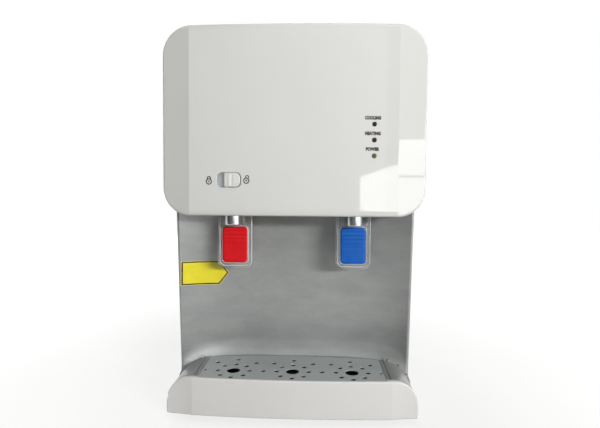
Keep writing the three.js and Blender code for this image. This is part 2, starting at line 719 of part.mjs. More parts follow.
function tapPaddle() {
  const cheekOuter = CHEEK_INNER + CHEEK_THICKNESS;
  const backY = PADDLE.frontY + PADDLE.thickness;
  const plate = extrude(
    panelOutline(PADDLE.half, PADDLE.bottom, PADDLE.top, GAP * 4, PADDLE.radius),
    'y',
    [PADDLE.frontY, backY],
    6,
  );
  const windowLow = PADDLE.bottom + INSERT.rise - GAP;
  const window = extrude(
    panelOutline(
      INSERT.half + GAP,
      windowLow,
      windowLow + INSERT.height + 2 * GAP,
      INSERT.radius + GAP,
      INSERT.radius + GAP,
    ),
    'y',
    [PADDLE.frontY - OVER, backY + OVER],
    4,
  );
  const armBack = PIVOT_Y + CHEEK_THICKNESS * 2;
  const cheek = polygon([
    [PADDLE.frontY, PADDLE.top - PADDLE.thickness * 2],
    [backY, PADDLE.top - PADDLE.thickness * 2],
    [armBack, PADDLE.top + PADDLE.thickness * 3],
    [armBack, BRIDGE_Z + BRIDGE_THICKNESS],
    [PADDLE.frontY, BRIDGE_Z + BRIDGE_THICKNESS],
  ]);
  const cheeks = [-1, 1].map((side) => {
    const x = [side * CHEEK_INNER, side * cheekOuter].sort((a, b) => a - b);
    return extrude(cheek, 'x', x);
  });
  const bridge = box(
    [-cheekOuter, cheekOuter],
    [BRIDGE_FRONT_Y, armBack],
    [BRIDGE_Z, BRIDGE_Z + BRIDGE_THICKNESS],
  );
  const pinHole = rod('x', PIN_RADIUS + PIN_CLEARANCE, [-HALF, HALF], [PIVOT_Y, PIVOT_Z], 24);
  return cut(join(plate, ...cheeks, bridge), window, pinHole);
}

function tapInsert() {
  const low = PADDLE.bottom + INSERT.rise;
  const outline = panelOutline(INSERT.half, low, low + INSERT.height, INSERT.radius, INSERT.radius);
  const y = [PADDLE.frontY - INSERT.proud, PADDLE.frontY + PADDLE.thickness];
  return extrude(outline, 'y', y, 4);
}

function valveStem() {
  const headZ = TAP_HEAD + STEM_RISE;
  const buttonZ = headZ + STEM_HEAD_THICKNESS;
  return turned(
    [
      [0, -PLUG_DEPTH - PLUG_THICKNESS],
      [PLUG_RADIUS, -PLUG_DEPTH - PLUG_THICKNESS],
      [PLUG_RADIUS, -PLUG_DEPTH],
      [STEM_RADIUS, -PLUG_DEPTH],
      [STEM_RADIUS, headZ],
      [STEM_HEAD_RADIUS, headZ],
      [STEM_HEAD_RADIUS, buttonZ],
      [STEM_BUTTON_RADIUS, buttonZ + STEM_BUTTON],
      [0, buttonZ + STEM_BUTTON],
    ],
    'z',
    20,
  );
}

function returnSpring() {
  const low = TAP_HEAD + GAP + SPRING.wire;
  const high = TAP_HEAD + STEM_RISE - GAP - SPRING.wire;
  const stepsPerTurn = 8;
  const points = [];
  for (let i = 0; i <= SPRING.turns * stepsPerTurn; i += 1) {
    const angle = (2 * Math.PI * i) / stepsPerTurn;
    const z = low + ((high - low) * i) / (SPRING.turns * stepsPerTurn);
    points.push([SPRING.radius * Math.cos(angle), SPRING.radius * Math.sin(angle), z]);
  }
  return tube(points, SPRING.wire, 0, SPRING.turns * stepsPerTurn, 6);
}

function buildTap(name, side, insertLook) {
  const tap = new THREE.Group();
  tap.position.set(side * TAP_X, TAP_Y, TAP_Z);
  dispenser.add(tap);
  const nutY = BOSS_Y - TAP_Y + BOSS_LENGTH + GAP;
  const nut = cut(
    rod('y', NUT_RADIUS, [nutY, nutY + NUT_THICKNESS], [0, 0], 6),
    rod('y', SHANK_RADIUS + GAP, [nutY - OVER, nutY + NUT_THICKNESS + OVER], [0, 0]),
  );
  const pinHalf = CHEEK_INNER + CHEEK_THICKNESS;
  addPiece(`${name}_tap_body`, tapBody(), 'chrome', tap);
  addPiece(`${name}_tap_nut`, nut, 'darkPlastic', tap);
  addPiece(`${name}_tap_paddle`, tapPaddle(), 'clear', tap);
  addPiece(`${name}_tap_insert`, tapInsert(), insertLook, tap);
  addPiece(`${name}_tap_stem`, valveStem(), 'silicone', tap);
  addPiece(`${name}_tap_spring`, returnSpring(), 'steel', tap);
  const pin = rod('x', PIN_RADIUS, [-pinHalf, pinHalf], [PIVOT_Y, PIVOT_Z], 24);
  addPiece(`${name}_tap_pin`, pin, 'steel', tap);
}

// ---------------------------------------------------------------- front cover and its controls
const SLIDER_PLATE_Y = WALL + GAP; // clear of the cover's inner face along the whole travel
const LAMP_Z = [0, 1, 2].map((i) => LAMP_TOP_Z - i * LAMP_PITCH);

function buildFrontCover() {
  const shell = foldedCover(COVER, COVER_BOTTOM, COVER_TOP, COVER.radius);
  const slot = extrude(
    panelOutline(SLOT_HALF, -SLOT_HALF_HEIGHT, SLOT_HALF_HEIGHT, SLOT_RADIUS, SLOT_RADIUS),
    'y',
    [-COVER.bulge - OVER, COVER.rimY],
    5,
  );
  const innerY = bowY(COVER, 0) + WALL / 2;
  const railHalf = SLOT_HALF + LOCK_TRAVEL + SLIDER_OVERLAP;
  const railZ = SLOT_HALF_HEIGHT + SLIDER_OVERLAP + GAP;
  const rails = [-1, 1].map((side) => {
    const z = [LOCK_Z + side * railZ, LOCK_Z + side * (railZ + GUIDE_WALL)].sort((a, b) => a - b);
    return box([LOCK_X - railHalf, LOCK_X + railHalf], [innerY, innerY + GUIDE_DEPTH + WALL], z);
  });
  const lampHoles = LAMP_Z.map((z) =>
    rod('y', LAMP_RADIUS + GAP / 2, [-COVER.bulge - OVER, COVER.rimY], [LAMP_X, z], 20),
  );
  const postY = [bowY(COVER, LAMP_X) + WALL / 2, BOARD.y - GAP];
  const posts = [LAMP_Z[0] + LAMP_PITCH / 2, LAMP_Z[2] - LAMP_PITCH / 2].map((z) =>
    rod('y', BOARD_POST_RADIUS, postY, [LAMP_X, z], 12),
  );
  // The taps come down through notches in the cover's bottom rim.
  const room = TAP_RADIUS + TAP_ROOM;
  const notches = [-TAP_X, TAP_X].map((x) =>
    box([x - room, x + room], [TAP_Y - room, COVER.rimY + OVER], [COVER_BOTTOM - OVER, TAP_Z]),
  );
  const body = cut(
    join(shell, ...rails, ...posts),
    moved(slot, LOCK_X, 0, LOCK_Z),
    ...lampHoles,
    ...notches,
  );
  addPiece('front_cover', body, 'glossWhite');
}

function buildLock() {
  const restX = LOCK_X + SLOT_HALF - GAP - KNOB_WIDTH / 2; // unlocked: at the right end
  const frontY = bowY(COVER, LOCK_X) - KNOB_PROUD;
  const plateY = [SLIDER_PLATE_Y, SLIDER_PLATE_Y + SLIDER_PLATE];
  const knob = extrude(
    panelOutline(
      KNOB_WIDTH / 2,
      -SLOT_HALF_HEIGHT + GAP,
      SLOT_HALF_HEIGHT - GAP,
      SLOT_RADIUS - GAP,
      SLOT_RADIUS - GAP,
    ),
    'y',
    [frontY, plateY[0] + OVER],
    5,
  );
  const plateHalf = KNOB_WIDTH / 2 + LOCK_TRAVEL + SLIDER_OVERLAP;
  const plateHeight = SLOT_HALF_HEIGHT + SLIDER_OVERLAP;
  const plate = box([-plateHalf, plateHalf], plateY, [-plateHeight, plateHeight]);
  const tongueLeft = TAP_X_LEFT_EDGE - restX;
  const tongueTop = TAP_Z + BRIDGE_Z - GAP - LOCK_Z;
  const tongue = box(
    [tongueLeft, tongueLeft + LOCK_TONGUE],
    [plateY[0], TAP_Y + BRIDGE_FRONT_Y + LOCK_TONGUE / 2],
    [tongueTop - LOCK_TONGUE_HEIGHT, tongueTop],
  );
  const slider = addPiece('child_lock_slider', join(knob, plate, tongue), 'glossWhite');
  slider.position.set(restX, 0, LOCK_Z);
}

// The right-hand edge of the hot tap's bridge, which the lock's tongue clears when unlocked.
const TAP_X_LEFT_EDGE = -TAP_X + CHEEK_INNER + CHEEK_THICKNESS + GAP * 2;

function buildLamps() {
  const surfaceY = bowY(COVER, LAMP_X);
  const innerY = surfaceY + WALL + GAP;
  const lens = turned(
    [
      [0, surfaceY - LAMP_PROUD],
      [LAMP_RADIUS / 2, surfaceY - LAMP_PROUD],
      [LAMP_RADIUS, surfaceY],
      [LAMP_RADIUS, innerY],
      [LAMP_FLANGE, innerY],
      [LAMP_FLANGE, innerY + LAMP_FLANGE_THICKNESS],
      [LAMP_RADIUS, innerY + LAMP_FLANGE_THICKNESS],
      [LAMP_RADIUS, BOARD.y - GAP],
      [0, BOARD.y - GAP],
    ],
    'y',
    20,
  );
  const lamps = [
    ['cooling_lamp', 'lampGreen'],
    ['heating_lamp', 'lampRed'],
    ['power_lamp', 'lampYellow'],
  ];
  lamps.forEach(([name, look], i) => {
    addPiece(name, lens, look).position.set(LAMP_X, 0, LAMP_Z[i]);
  });
  const board = box(
    [LAMP_X - BOARD.half, LAMP_X + BOARD.half],
    [BOARD.y, BOARD.y + BOARD.thickness],
    [LAMP_Z[2] - LAMP_PITCH / 2 - BOARD.margin, LAMP_Z[0] + LAMP_PITCH / 2 + BOARD.margin],
  );
  addPiece('lamp_board', board, 'board');
}

// ---------------------------------------------------------------- sides, back and top
function buildSides() {
  const seamY = (z) => BAY.edgeY + BAY.returns + GAP - BAY.lean * (z - DECK_Z);
  const low = PAN_TOP + GAP;
  const frontY = COVER.rimY + GAP;
  const outline = polygon([
    [seamY(low), low],
    [BACK_Y, low],
    [BACK_Y, SIDE_TOP],
    [frontY, SIDE_TOP],
    [frontY, STEP_Z + STEP_RISE],
    [seamY(STEP_Z), STEP_Z],
  ]);
  for (const [name, side] of [['left_side_panel', -1], ['right_side_panel', 1]]) {
    const across = (near, far) => [side * near, side * far].sort((a, b) => a - b);
    const grip = (inset, near, far) =>
      box(
        across(near, far),
        [GRIP.y - GRIP.halfWidth + inset, GRIP.y + GRIP.halfWidth - inset],
        [GRIP_Z - GRIP.halfHeight + inset, GRIP_Z + GRIP.halfHeight - inset],
      );
    const skin = extrude(outline, 'x', across(SIDE_INNER, HALF));
    const pocket = grip(0, HALF - GRIP.depth - WALL, HALF);
    const hollow = grip(WALL, HALF - GRIP.depth, HALF + OVER);
    addPiece(name, cut(join(skin, pocket), hollow), 'glossWhite');
  }
}

function buildBackPanel() {
  const edge = SIDE_INNER - GAP;
  const y = [BACK_INNER_Y, BACK_Y];
  const through = [BACK_INNER_Y - OVER, BACK_Y + OVER];
  const plate = box([-edge, edge], y, [PAN_TOP + GAP, SIDE_TOP - GAP]);
  const slot = (x, halfWidth, z, halfHeight) =>
    box([x - halfWidth, x + halfWidth], through, [z - halfHeight, z + halfHeight]);
  const cuts = [];
  for (let i = 0; i < LOUVRE.count; i += 1) {
    const rise = (i - (LOUVRE.count - 1) / 2) * LOUVRE.pitch;
    const half = Math.sqrt(LOUVRE.half ** 2 - rise ** 2 + LOUVRE.pitch ** 2) * 0.9;
    cuts.push(slot(0, Math.min(half, LOUVRE.half), COOLER_Z + rise, LOUVRE.halfHeight));
  }
  for (let i = 0; i < VENT.count; i += 1) {
    cuts.push(slot(HOT_X, VENT.halfWidth, VENT.z + i * VENT.pitch, VENT.halfHeight));
  }
  cuts.push(slot(INLET.x, INLET.halfWidth + GAP, INLET.z, INLET.halfHeight + GAP));
  const bezelHalf = SWITCHES.pitch / 2 + SWITCHES.half + SWITCHES.flange;
  const bezelHalfHeight = SWITCHES.halfHeight + SWITCHES.flange;
  cuts.push(slot(SWITCHES.x, bezelHalf + GAP, SWITCHES.z, bezelHalfHeight + GAP));
  cuts.push(rod('y', DRAIN.radius + GAP, through, [DRAIN.x, DRAIN.z]));
  addPiece('back_panel', cut(plate, ...cuts), 'glossWhite');
}

function buildTopCover() {
  const low = SIDE_TOP + GAP;
  const frontY = COVER.rimY + GAP;
  const arch = (inset, from, y) =>
    extrude(panelOutline(HALF - inset, from, BODY_TOP - inset, TOP_RADIUS - inset, GAP), 'y', y);
  const shell = cut(
    arch(0, low, [frontY, BACK_Y]),
    arch(WALL, low - WALL, [frontY - OVER, BACK_Y - WALL]),
  );
  const funnel = turned(
    [
      [WELL_RADIUS + WALL, BODY_TOP],
      [WELL_RADIUS, BODY_TOP],
      [WELL_RADIUS, BODY_TOP - WELL_STRAIGHT],
      [NECK_RADIUS, LEDGE_Z],
      [NECK_RADIUS - SEAT_LEDGE, LEDGE_Z],
      [NECK_RADIUS - SEAT_LEDGE, NECK_BOTTOM],
      [NECK_RADIUS + WALL, NECK_BOTTOM],
      [NECK_RADIUS + WALL, LEDGE_Z - WALL],
      [WELL_RADIUS + WALL, BODY_TOP - WELL_STRAIGHT - WALL],
    ],
    'z',
    FINE_SEGMENTS,
  );
  const mouth = rod(
    'z',
    WELL_RADIUS + WALL / 2,
    [BODY_TOP - WALL - OVER, BODY_TOP + OVER],
    [0, WELL_Y],
    FINE_SEGMENTS,
  );
  addPiece('top_cover', join(cut(shell, mouth), moved(funnel, 0, WELL_Y, 0)), 'glossWhite');
}

function buildBottleSeat() {
  const flangeLow = LEDGE_Z + GAP;
  const flangeTop = flangeLow + WALL;
  const cupRadius = NECK_RADIUS - SEAT_LEDGE - GAP;
  const cupBottom = flangeTop - SEAT_DEPTH;
  const probeTop = flangeTop + PROBE_HEIGHT;
  const probeBore = PROBE_RADIUS - PROBE_WALL;
  const profile = [
    [0, probeTop],
    [PROBE_RADIUS / 2, probeTop],
    [PROBE_RADIUS, probeTop - PROBE_RADIUS / 2],
    [PROBE_RADIUS, cupBottom + WALL],
    [cupRadius - WALL, cupBottom + WALL],
    [cupRadius - WALL, flangeTop],
    [NECK_RADIUS - GAP, flangeTop],
    [NECK_RADIUS - GAP, flangeLow],
    [cupRadius, flangeLow],
    [cupRadius, cupBottom],
    [probeBore, cupBottom],
    [probeBore, probeTop - PROBE_RADIUS],
    [0, probeTop - PROBE_RADIUS + WALL],
  ];
  const cup = turned(profile, 'z', FINE_SEGMENTS);
  const windowZ = [flangeTop, probeTop - PROBE_RADIUS];
  const holes = [0, 60, 120].map((degrees) =>
    box([-PROBE_RADIUS - OVER, PROBE_RADIUS + OVER], [-PROBE_WALL, PROBE_WALL], windowZ).rotate([
      0,
      0,
      degrees,
    ]),
  );
  const drainRing = (PROBE_RADIUS + cupRadius) / 2;
  for (let i = 0; i < 8; i += 1) {
    const angle = (Math.PI * i) / 4;
    const at = [drainRing * Math.cos(angle), drainRing * Math.sin(angle)];
    holes.push(rod('z', PORT_BORE, [cupBottom - OVER, cupBottom + WALL + OVER], at, 10));
  }
  addPiece('bottle_seat', cut(cup, ...holes), 'silicone').position.set(0, WELL_Y, 0);
}

// ---------------------------------------------------------------- cold water
function buildColdTank() {
  const inner = TANK_RADIUS - TANK_WALL;
  const shell = turned(
    [
      [0, TANK_BOTTOM],
      [TANK_RADIUS, TANK_BOTTOM],
      [TANK_RADIUS, TANK_TOP],
      [inner, TANK_TOP],
      [inner, TANK_BOTTOM + TANK_WALL],
      [0, TANK_BOTTOM + TANK_WALL],
    ],
    'z',
    FINE_SEGMENTS,
  );
  const ports = [[COLD_PORT.x, COLD_PORT.y], [0, 0]];
  const stubs = ports.map((at) => rod('z', PORT_RADIUS, [PORT_BOTTOM, TANK_BOTTOM + OVER], at, 16));
  const bores = ports.map((at) => rod('z', PORT_BORE, [PORT_BOTTOM - OVER, TANK_TOP], at, 12));
  const tank = cut(join(shell, ...stubs), ...bores);
  addPiece('cold_tank', tank, 'steel').position.set(0, WELL_Y, 0);

  const discZ = TANK_BOTTOM + SEPARATOR_RISE;
  const tubeBottom = TANK_BOTTOM + TANK_WALL + GAP;
  const separator = turned(
    [
      [PORT_BORE, tubeBottom],
      [SEPARATOR_TUBE_RADIUS, tubeBottom],
      [SEPARATOR_TUBE_RADIUS, discZ],
      [inner - GAP, discZ],
      [inner - GAP, discZ + TANK_WALL],
      [PORT_BORE, discZ + TANK_WALL],
    ],
    'z',
    SEGMENTS,
  );
  addPiece('tank_separator', separator, 'silicone').position.set(0, WELL_Y, 0);

  const foamInner = TANK_RADIUS + GAP;
  const foamOuter = foamInner + FOAM_WALL;
  const foamBottom = TANK_BOTTOM - GAP - FOAM_FLOOR;
  const foam = turned(
    [
      [0, foamBottom],
      [foamOuter, foamBottom],
      [foamOuter, TANK_TOP],
      [foamInner, TANK_TOP],
      [foamInner, TANK_BOTTOM - GAP],
      [0, TANK_BOTTOM - GAP],
    ],
    'z',
    FINE_SEGMENTS,
  );
  const portHoles = ports.map((at) =>
    rod('z', PORT_RADIUS + GAP, [foamBottom - OVER, TANK_BOTTOM], at, 16),
  );
  const half = BLOCK_SIZE / 2 + GAP;
  const blockHole = box([-half, half], [0, HALF], [COOLER_Z - half, COOLER_Z + half]);
  addPiece('cold_tank_foam', cut(foam, ...portHoles, blockHole), 'foam').position.set(0, WELL_Y, 0);
}

function buildCooler() {
  const square = (size, y) =>
    box([-size / 2, size / 2], y, [COOLER_Z - size / 2, COOLER_Z + size / 2]);
  const block = cut(
    square(BLOCK_SIZE, [WELL_Y + TANK_RADIUS / 2, BLOCK_BACK_Y]),
    rod('z', TANK_RADIUS + GAP, [TANK_BOTTOM, TANK_TOP], [0, WELL_Y], FINE_SEGMENTS),
  );
  addPiece('cold_block', block, 'aluminium');
  const module = square(PELTIER_SIZE, [PELTIER_Y, PELTIER_Y + PELTIER_THICKNESS]);
  addPiece('peltier_module', module, 'ceramic');

  const half = SINK_SIZE / 2;
  const finY = SINK_Y + SINK_BASE;
  const pitch = (SINK_SIZE - SINK_FIN) / (SINK_FINS - 1);
  const comb = [[-half, SINK_Y], [half, SINK_Y]];
  for (let i = SINK_FINS - 1; i >= 0; i -= 1) {
    const left = -half + i * pitch;
    comb.push([left + SINK_FIN, finY], [left + SINK_FIN, finY + SINK_FIN_LENGTH]);
    comb.push([left, finY + SINK_FIN_LENGTH], [left, finY]);
  }
  const outline = comb.filter(([x, y]) => !(Math.abs(x) > half - OVER / 2 && y === finY));
  const sink = extrude(polygon(outline), 'z', [COOLER_Z - half, COOLER_Z + half]);
  addPiece('heat_sink', sink, 'aluminium');
}

function buildFan() {
  const fan = new THREE.Group();
  fan.position.set(0, FAN_Y, COOLER_Z);
  dispenser.add(fan);
  const half = FAN.size / 2;
  const mountY = [FAN.depth - FAN.mount, FAN.depth];
  const ring = cut(
    box([-half, half], [0, FAN.depth], [-half, half]),
    rod('y', FAN.bore, [-OVER, FAN.depth + OVER], [0, 0], FINE_SEGMENTS),
  );
  const strutHalf = FAN.strut / 2;
  const spider = join(
    rod('y', FAN.hub + OVER, mountY, [0, 0], 24),
    box([-half, half], mountY, [-strutHalf, strutHalf]),
    box([-strutHalf, strutHalf], mountY, [-half, half]),
  );
  addPiece('fan_frame', join(ring, spider), 'darkPlastic', fan);

  const rotorY = [FAN.mount, FAN.depth - FAN.mount - GAP];
  const chord = rotorY[1] - rotorY[0];
  const middle = (rotorY[0] + rotorY[1]) / 2;
  const blades = [];
  for (let i = 0; i < FAN.blades; i += 1) {
    const blade = box(
      [FAN.hub - OVER, FAN.bore - OVER],
      [-WALL / 4, WALL / 4],
      [-chord / 2, chord / 2],
    );
    const pitched = blade.rotate([50, 0, 0]).rotate([0, (360 * i) / FAN.blades, 0]);
    blades.push(moved(pitched, 0, middle, 0));
  }
  const hub = rod('y', FAN.hub, rotorY, [0, 0], 24);
  addPiece('fan_rotor', join(hub, ...blades), 'darkPlastic', fan);
}

function buildShelf() {
  const edge = SIDE_INNER - GAP;
  const low = SHELF_TOP - SHEET;
  const back = SINK_Y;
  const plate = box([-edge, edge], [SHELF_FRONT_Y, back], [low, SHELF_TOP]);
  const flanges = [-1, 1].map((side) => {
    const x = [side * (edge - SHEET), side * edge].sort((a, b) => a - b);
    return box(x, [SHELF_FRONT_Y, back], [low - SHELF_FLANGE, SHELF_TOP]);
  });
  const hole = (x, y) => rod('z', PORT_RADIUS + 2 * GAP, [low - OVER, SHELF_TOP + OVER], [x, y], 16);
  const holes = [hole(COLD_PORT.x, WELL_Y + COLD_PORT.y), hole(0, WELL_Y)];
  addPiece('tank_shelf', cut(join(plate, ...flanges), ...holes), 'zinc');
}

// ---------------------------------------------------------------- hot water
function buildHotTank() {
  const inner = HOT_RADIUS - TANK_WALL;
  const top = HOT_BOTTOM + HOT_HEIGHT;
  const profile = [
    [0, HOT_BOTTOM],
    [HOT_RADIUS, HOT_BOTTOM],
    [HOT_RADIUS, top],
    [PORT_RADIUS, top],
    [PORT_RADIUS, top + HOT_NECK],
    [PORT_BORE, top + HOT_NECK],
    [PORT_BORE, top - TANK_WALL],
    [inner, top - TANK_WALL],
    [inner, HOT_BOTTOM + TANK_WALL],
    [0, HOT_BOTTOM + TANK_WALL],
  ];
  const out = JACKET_RADIUS + SIDE_PORT_OUT;
  const stubs = [
    rod('x', PORT_RADIUS, [inner, out], [0, SIDE_PORT_Z], 16),
    rod('y', PORT_RADIUS, [inner, out], [0, SIDE_PORT_Z], 16),
  ];
  const bores = [
    rod('x', PORT_BORE, [inner - PORT_RADIUS, out + OVER], [0, SIDE_PORT_Z], 12),
    rod('y', PORT_BORE, [inner - PORT_RADIUS, out + OVER], [0, SIDE_PORT_Z], 12),
  ];
  const tank = new THREE.Group();
  tank.position.set(HOT_X, HOT_Y, 0);
  dispenser.add(tank);
  const vessel = turned(profile, 'z', FINE_SEGMENTS);
  addPiece('hot_tank', cut(join(vessel, ...stubs), ...bores), 'steel', tank);

  const jacketInner = JACKET_RADIUS - JACKET_WALL;
  const jacket = turned(
    [
      [jacketInner, HOT_BOTTOM],
      [JACKET_RADIUS, HOT_BOTTOM],
      [JACKET_RADIUS, top + GAP + JACKET_WALL],
      [PORT_RADIUS + GAP, top + GAP + JACKET_WALL],
      [PORT_RADIUS + GAP, top + GAP],
      [jacketInner, top + GAP],
    ],
    'z',
    FINE_SEGMENTS,
  );
  const portHoles = [
    rod('x', PORT_RADIUS + GAP, [inner, out], [0, SIDE_PORT_Z], 16),
    rod('y', PORT_RADIUS + GAP, [inner, out], [0, SIDE_PORT_Z], 16),
  ];
  addPiece('hot_tank_jacket', cut(jacket, ...portHoles), 'felt', tank);

  const band = turned(
    [
      [HOT_RADIUS + GAP, HEATER_Z[0]],
      [jacketInner - GAP, HEATER_Z[0]],
      [jacketInner - GAP, HEATER_Z[1]],
      [HOT_RADIUS + GAP, HEATER_Z[1]],
    ],
    'z',
    FINE_SEGMENTS,
  );
  addPiece('heater_band', band, 'steel', tank);

  const sagitta = HOT_RADIUS - Math.sqrt(HOT_RADIUS ** 2 - THERMOSTAT.radius ** 2);
  const disc = cut(
    rod('y', THERMOSTAT.radius, [-jacketInner + sagitta + OVER, -inner], [0, THERMOSTAT.z], 20),
    rod('z', HOT_RADIUS + GAP, [HOT_BOTTOM, top], [0, 0], FINE_SEGMENTS),
  );
  addPiece('hot_thermostat', disc, 'darkPlastic', tank);

  const stand = polygon([
    [-STAND_HALF - STAND_FOOT, PAN_FLOOR_Z + GAP],
    [-STAND_HALF + SHEET, PAN_FLOOR_Z + GAP],
    [-STAND_HALF + SHEET, STAND_TOP - SHEET],
    [STAND_HALF - SHEET, STAND_TOP - SHEET],
    [STAND_HALF - SHEET, PAN_FLOOR_Z + GAP],
    [STAND_HALF + STAND_FOOT, PAN_FLOOR_Z + GAP],
    [STAND_HALF + STAND_FOOT, PAN_FLOOR_Z + GAP + SHEET],
    [STAND_HALF, PAN_FLOOR_Z + GAP + SHEET],
    [STAND_HALF, STAND_TOP],
    [-STAND_HALF, STAND_TOP],
    [-STAND_HALF, PAN_FLOOR_Z + GAP + SHEET],
    [-STAND_HALF - STAND_FOOT, PAN_FLOOR_Z + GAP + SHEET],
  ]);
  const standPiece = extrude(stand, 'y', [-STAND_HALF, STAND_HALF]);
  addPiece('hot_tank_stand', standPiece, 'zinc', tank);
}

function buildHoses() {
  const shankEndY = BOSS_Y + BOSS_LENGTH + SHANK_TAIL + GAP;
  const lead = HOSE_RADIUS * 2; // straight stretch at a hose's end
  const hotTop = HOT_BOTTOM + HOT_HEIGHT + HOT_NECK + GAP;
  const portTop = PORT_BOTTOM - GAP;
  const coldY = WELL_Y + COLD_PORT.y;
  const jacketEdge = JACKET_RADIUS + SIDE_PORT_OUT + GAP;
  const routes = {
    cold_hose: [
      [COLD_PORT.x, coldY, portTop],
      [COLD_PORT.x, coldY, portTop - lead],
      [(COLD_PORT.x + TAP_X) / 2, (coldY + SHELF_FRONT_Y) / 2, portTop - lead * 3],
      [TAP_X, SHELF_FRONT_Y - lead * 1.2, portTop - lead * 1.5],
      [TAP_X, shankEndY + lead, TAP_Z],
      [TAP_X, shankEndY, TAP_Z],
    ],
    hot_hose: [
      [HOT_X, HOT_Y, hotTop],
      [HOT_X, HOT_Y, hotTop + lead],
      [(HOT_X - TAP_X) / 2, (HOT_Y + SHELF_FRONT_Y) / 2, hotTop + lead * 1.4],
      [-TAP_X, SHELF_FRONT_Y - lead, TAP_Z - lead * 1.5],
      [-TAP_X, shankEndY + lead, TAP_Z],
      [-TAP_X, shankEndY, TAP_Z],
    ],
    feed_hose: [
      [0, WELL_Y, portTop],
      [0, WELL_Y, portTop - lead],
      [HOT_X + jacketEdge + lead * 2, (WELL_Y + HOT_Y) / 2, (portTop + SIDE_PORT_Z) / 2],
      [HOT_X + jacketEdge + lead, HOT_Y, SIDE_PORT_Z],
      [HOT_X + jacketEdge, HOT_Y, SIDE_PORT_Z],
    ],
    drain_hose: [
      [HOT_X, HOT_Y + jacketEdge, SIDE_PORT_Z],
      [HOT_X, HOT_Y + jacketEdge + lead, SIDE_PORT_Z],
      [DRAIN.x, BACK_INNER_Y - DRAIN.inside - GAP - lead, DRAIN.z],
      [DRAIN.x, BACK_INNER_Y - DRAIN.inside - GAP, DRAIN.z],
    ],
  };
  for (const [name, points] of Object.entries(routes)) {
    addPiece(name, tube(points, HOSE_RADIUS, HOSE_BORE, 12, 8), 'silicone');
  }
}

// ---------------------------------------------------------------- power and back fittings
function buildPowerBoard() {
  const { x, y, halfWidth, halfDepth, thickness, post } = POWER_BOARD;
  const boardZ = PAN_FLOOR_Z + GAP + post;
  const top = boardZ + thickness;
  const parts = [box([x - halfWidth, x + halfWidth], [y - halfDepth, y + halfDepth], [boardZ, top])];
  for (const sx of [-1, 1]) {
    for (const sy of [-1, 1]) {
      const at = [x + sx * (halfWidth - post), y + sy * (halfDepth - post)];
      parts.push(rod('z', post / 2, [PAN_FLOOR_Z + GAP, boardZ + thickness / 2], at, 10));
    }
  }
  const core = halfWidth * 0.4;
  parts.push(box([x - core / 2, x + core], [y - core, y + core * 0.8], [boardZ, top + core * 1.3]));
  parts.push(rod('z', core / 2.4, [boardZ, top + core], [x - core * 1.8, y - core], 16));
  parts.push(rod('z', core / 2.4, [boardZ, top + core], [x - core * 1.8, y + core / 2], 16));
  addPiece('power_board', join(...parts), 'board');
}

function buildBackFittings() {
  const inlet = new THREE.Group();
  inlet.position.set(INLET.x, BACK_Y, INLET.z);
  dispenser.add(inlet);
  const edge = INLET.halfWidth + INLET.flange;
  const edgeZ = INLET.halfHeight + INLET.flange;
  const { half, halfHeight, pinHalf, pinHalfHeight, pinPitch, pin } = INLET_SOCKET;
  const housing = join(
    box(
      [-INLET.halfWidth, INLET.halfWidth],
      [-INLET.depth, GAP + INLET.flange / 2],
      [-INLET.halfHeight, INLET.halfHeight],
    ),
    box([-edge, edge], [GAP, GAP + INLET.flange], [-edgeZ, edgeZ]),
  );
  const recess = box(
    [-half, half],
    [GAP + INLET.flange - INLET.socket, GAP + INLET.flange + OVER],
    [-halfHeight, halfHeight],
  );
  const pinRoot = GAP + INLET.flange - INLET.socket - OVER;
  const pins = [[-pinPitch, 0], [0, pinHalfHeight * 2], [pinPitch, 0]].map(([x, z]) =>
    box(
      [x - pinHalfHeight, x + pinHalfHeight],
      [pinRoot, pinRoot + pin],
      [z - pinHalf - halfHeight / 3, z + pinHalf - halfHeight / 3],
    ),
  );
  addPiece('power_inlet', join(cut(housing, recess), ...pins), 'darkPlastic', inlet);

  const panel = new THREE.Group();
  panel.position.set(SWITCHES.x, BACK_Y, SWITCHES.z);
  dispenser.add(panel);
  const bodyHalf = SWITCHES.pitch / 2 + SWITCHES.half + SWITCHES.flange;
  const bodyHalfZ = SWITCHES.halfHeight + SWITCHES.flange;
  const rimHalf = bodyHalf + SWITCHES.rim;
  const rimHalfZ = bodyHalfZ + SWITCHES.rim;
  const rimY = GAP + SWITCHES.flange;
  let bezel = join(
    box([-bodyHalf, bodyHalf], [-SWITCHES.depth, rimY / 2], [-bodyHalfZ, bodyHalfZ]),
    box([-rimHalf, rimHalf], [GAP, rimY], [-rimHalfZ, rimHalfZ]),
  );
  const rockers = [['hot_switch_rocker', 1, 'hotRed'], ['cold_switch_rocker', -1, 'darkPlastic']];
  for (const [, side] of rockers) {
    const x = (side * SWITCHES.pitch) / 2;
    const well = box(
      [x - SWITCHES.half, x + SWITCHES.half],
      [-SWITCHES.depth + WALL, rimY + OVER],
      [-SWITCHES.halfHeight, SWITCHES.halfHeight],
    );
    bezel = cut(bezel, well);
  }
  // A rocker is a shallow vee across its pivot, so one end stands proud and the other is pressed in.
  const swing = Math.tan(THREE.MathUtils.degToRad(ROCKER.tilt));
  const reach = SWITCHES.halfHeight - ROCKER.play;
  const rockerSide = polygon([
    [-ROCKER.deep, -reach / 2],
    [rimY - GAP, -reach],
    [rimY + ROCKER.proud, 0],
    [rimY + ROCKER.proud + reach * swing, reach],
    [-ROCKER.deep, reach / 2],
  ]);
  const width = SWITCHES.half - GAP;
  addPiece('switch_bezel', bezel, 'darkPlastic', panel);
  for (const [name, side, look] of rockers) {
    const rocker = addPiece(name, extrude(rockerSide, 'x', [-width, width]), look, panel);
    rocker.position.x = (side * SWITCHES.pitch) / 2;
  }
}

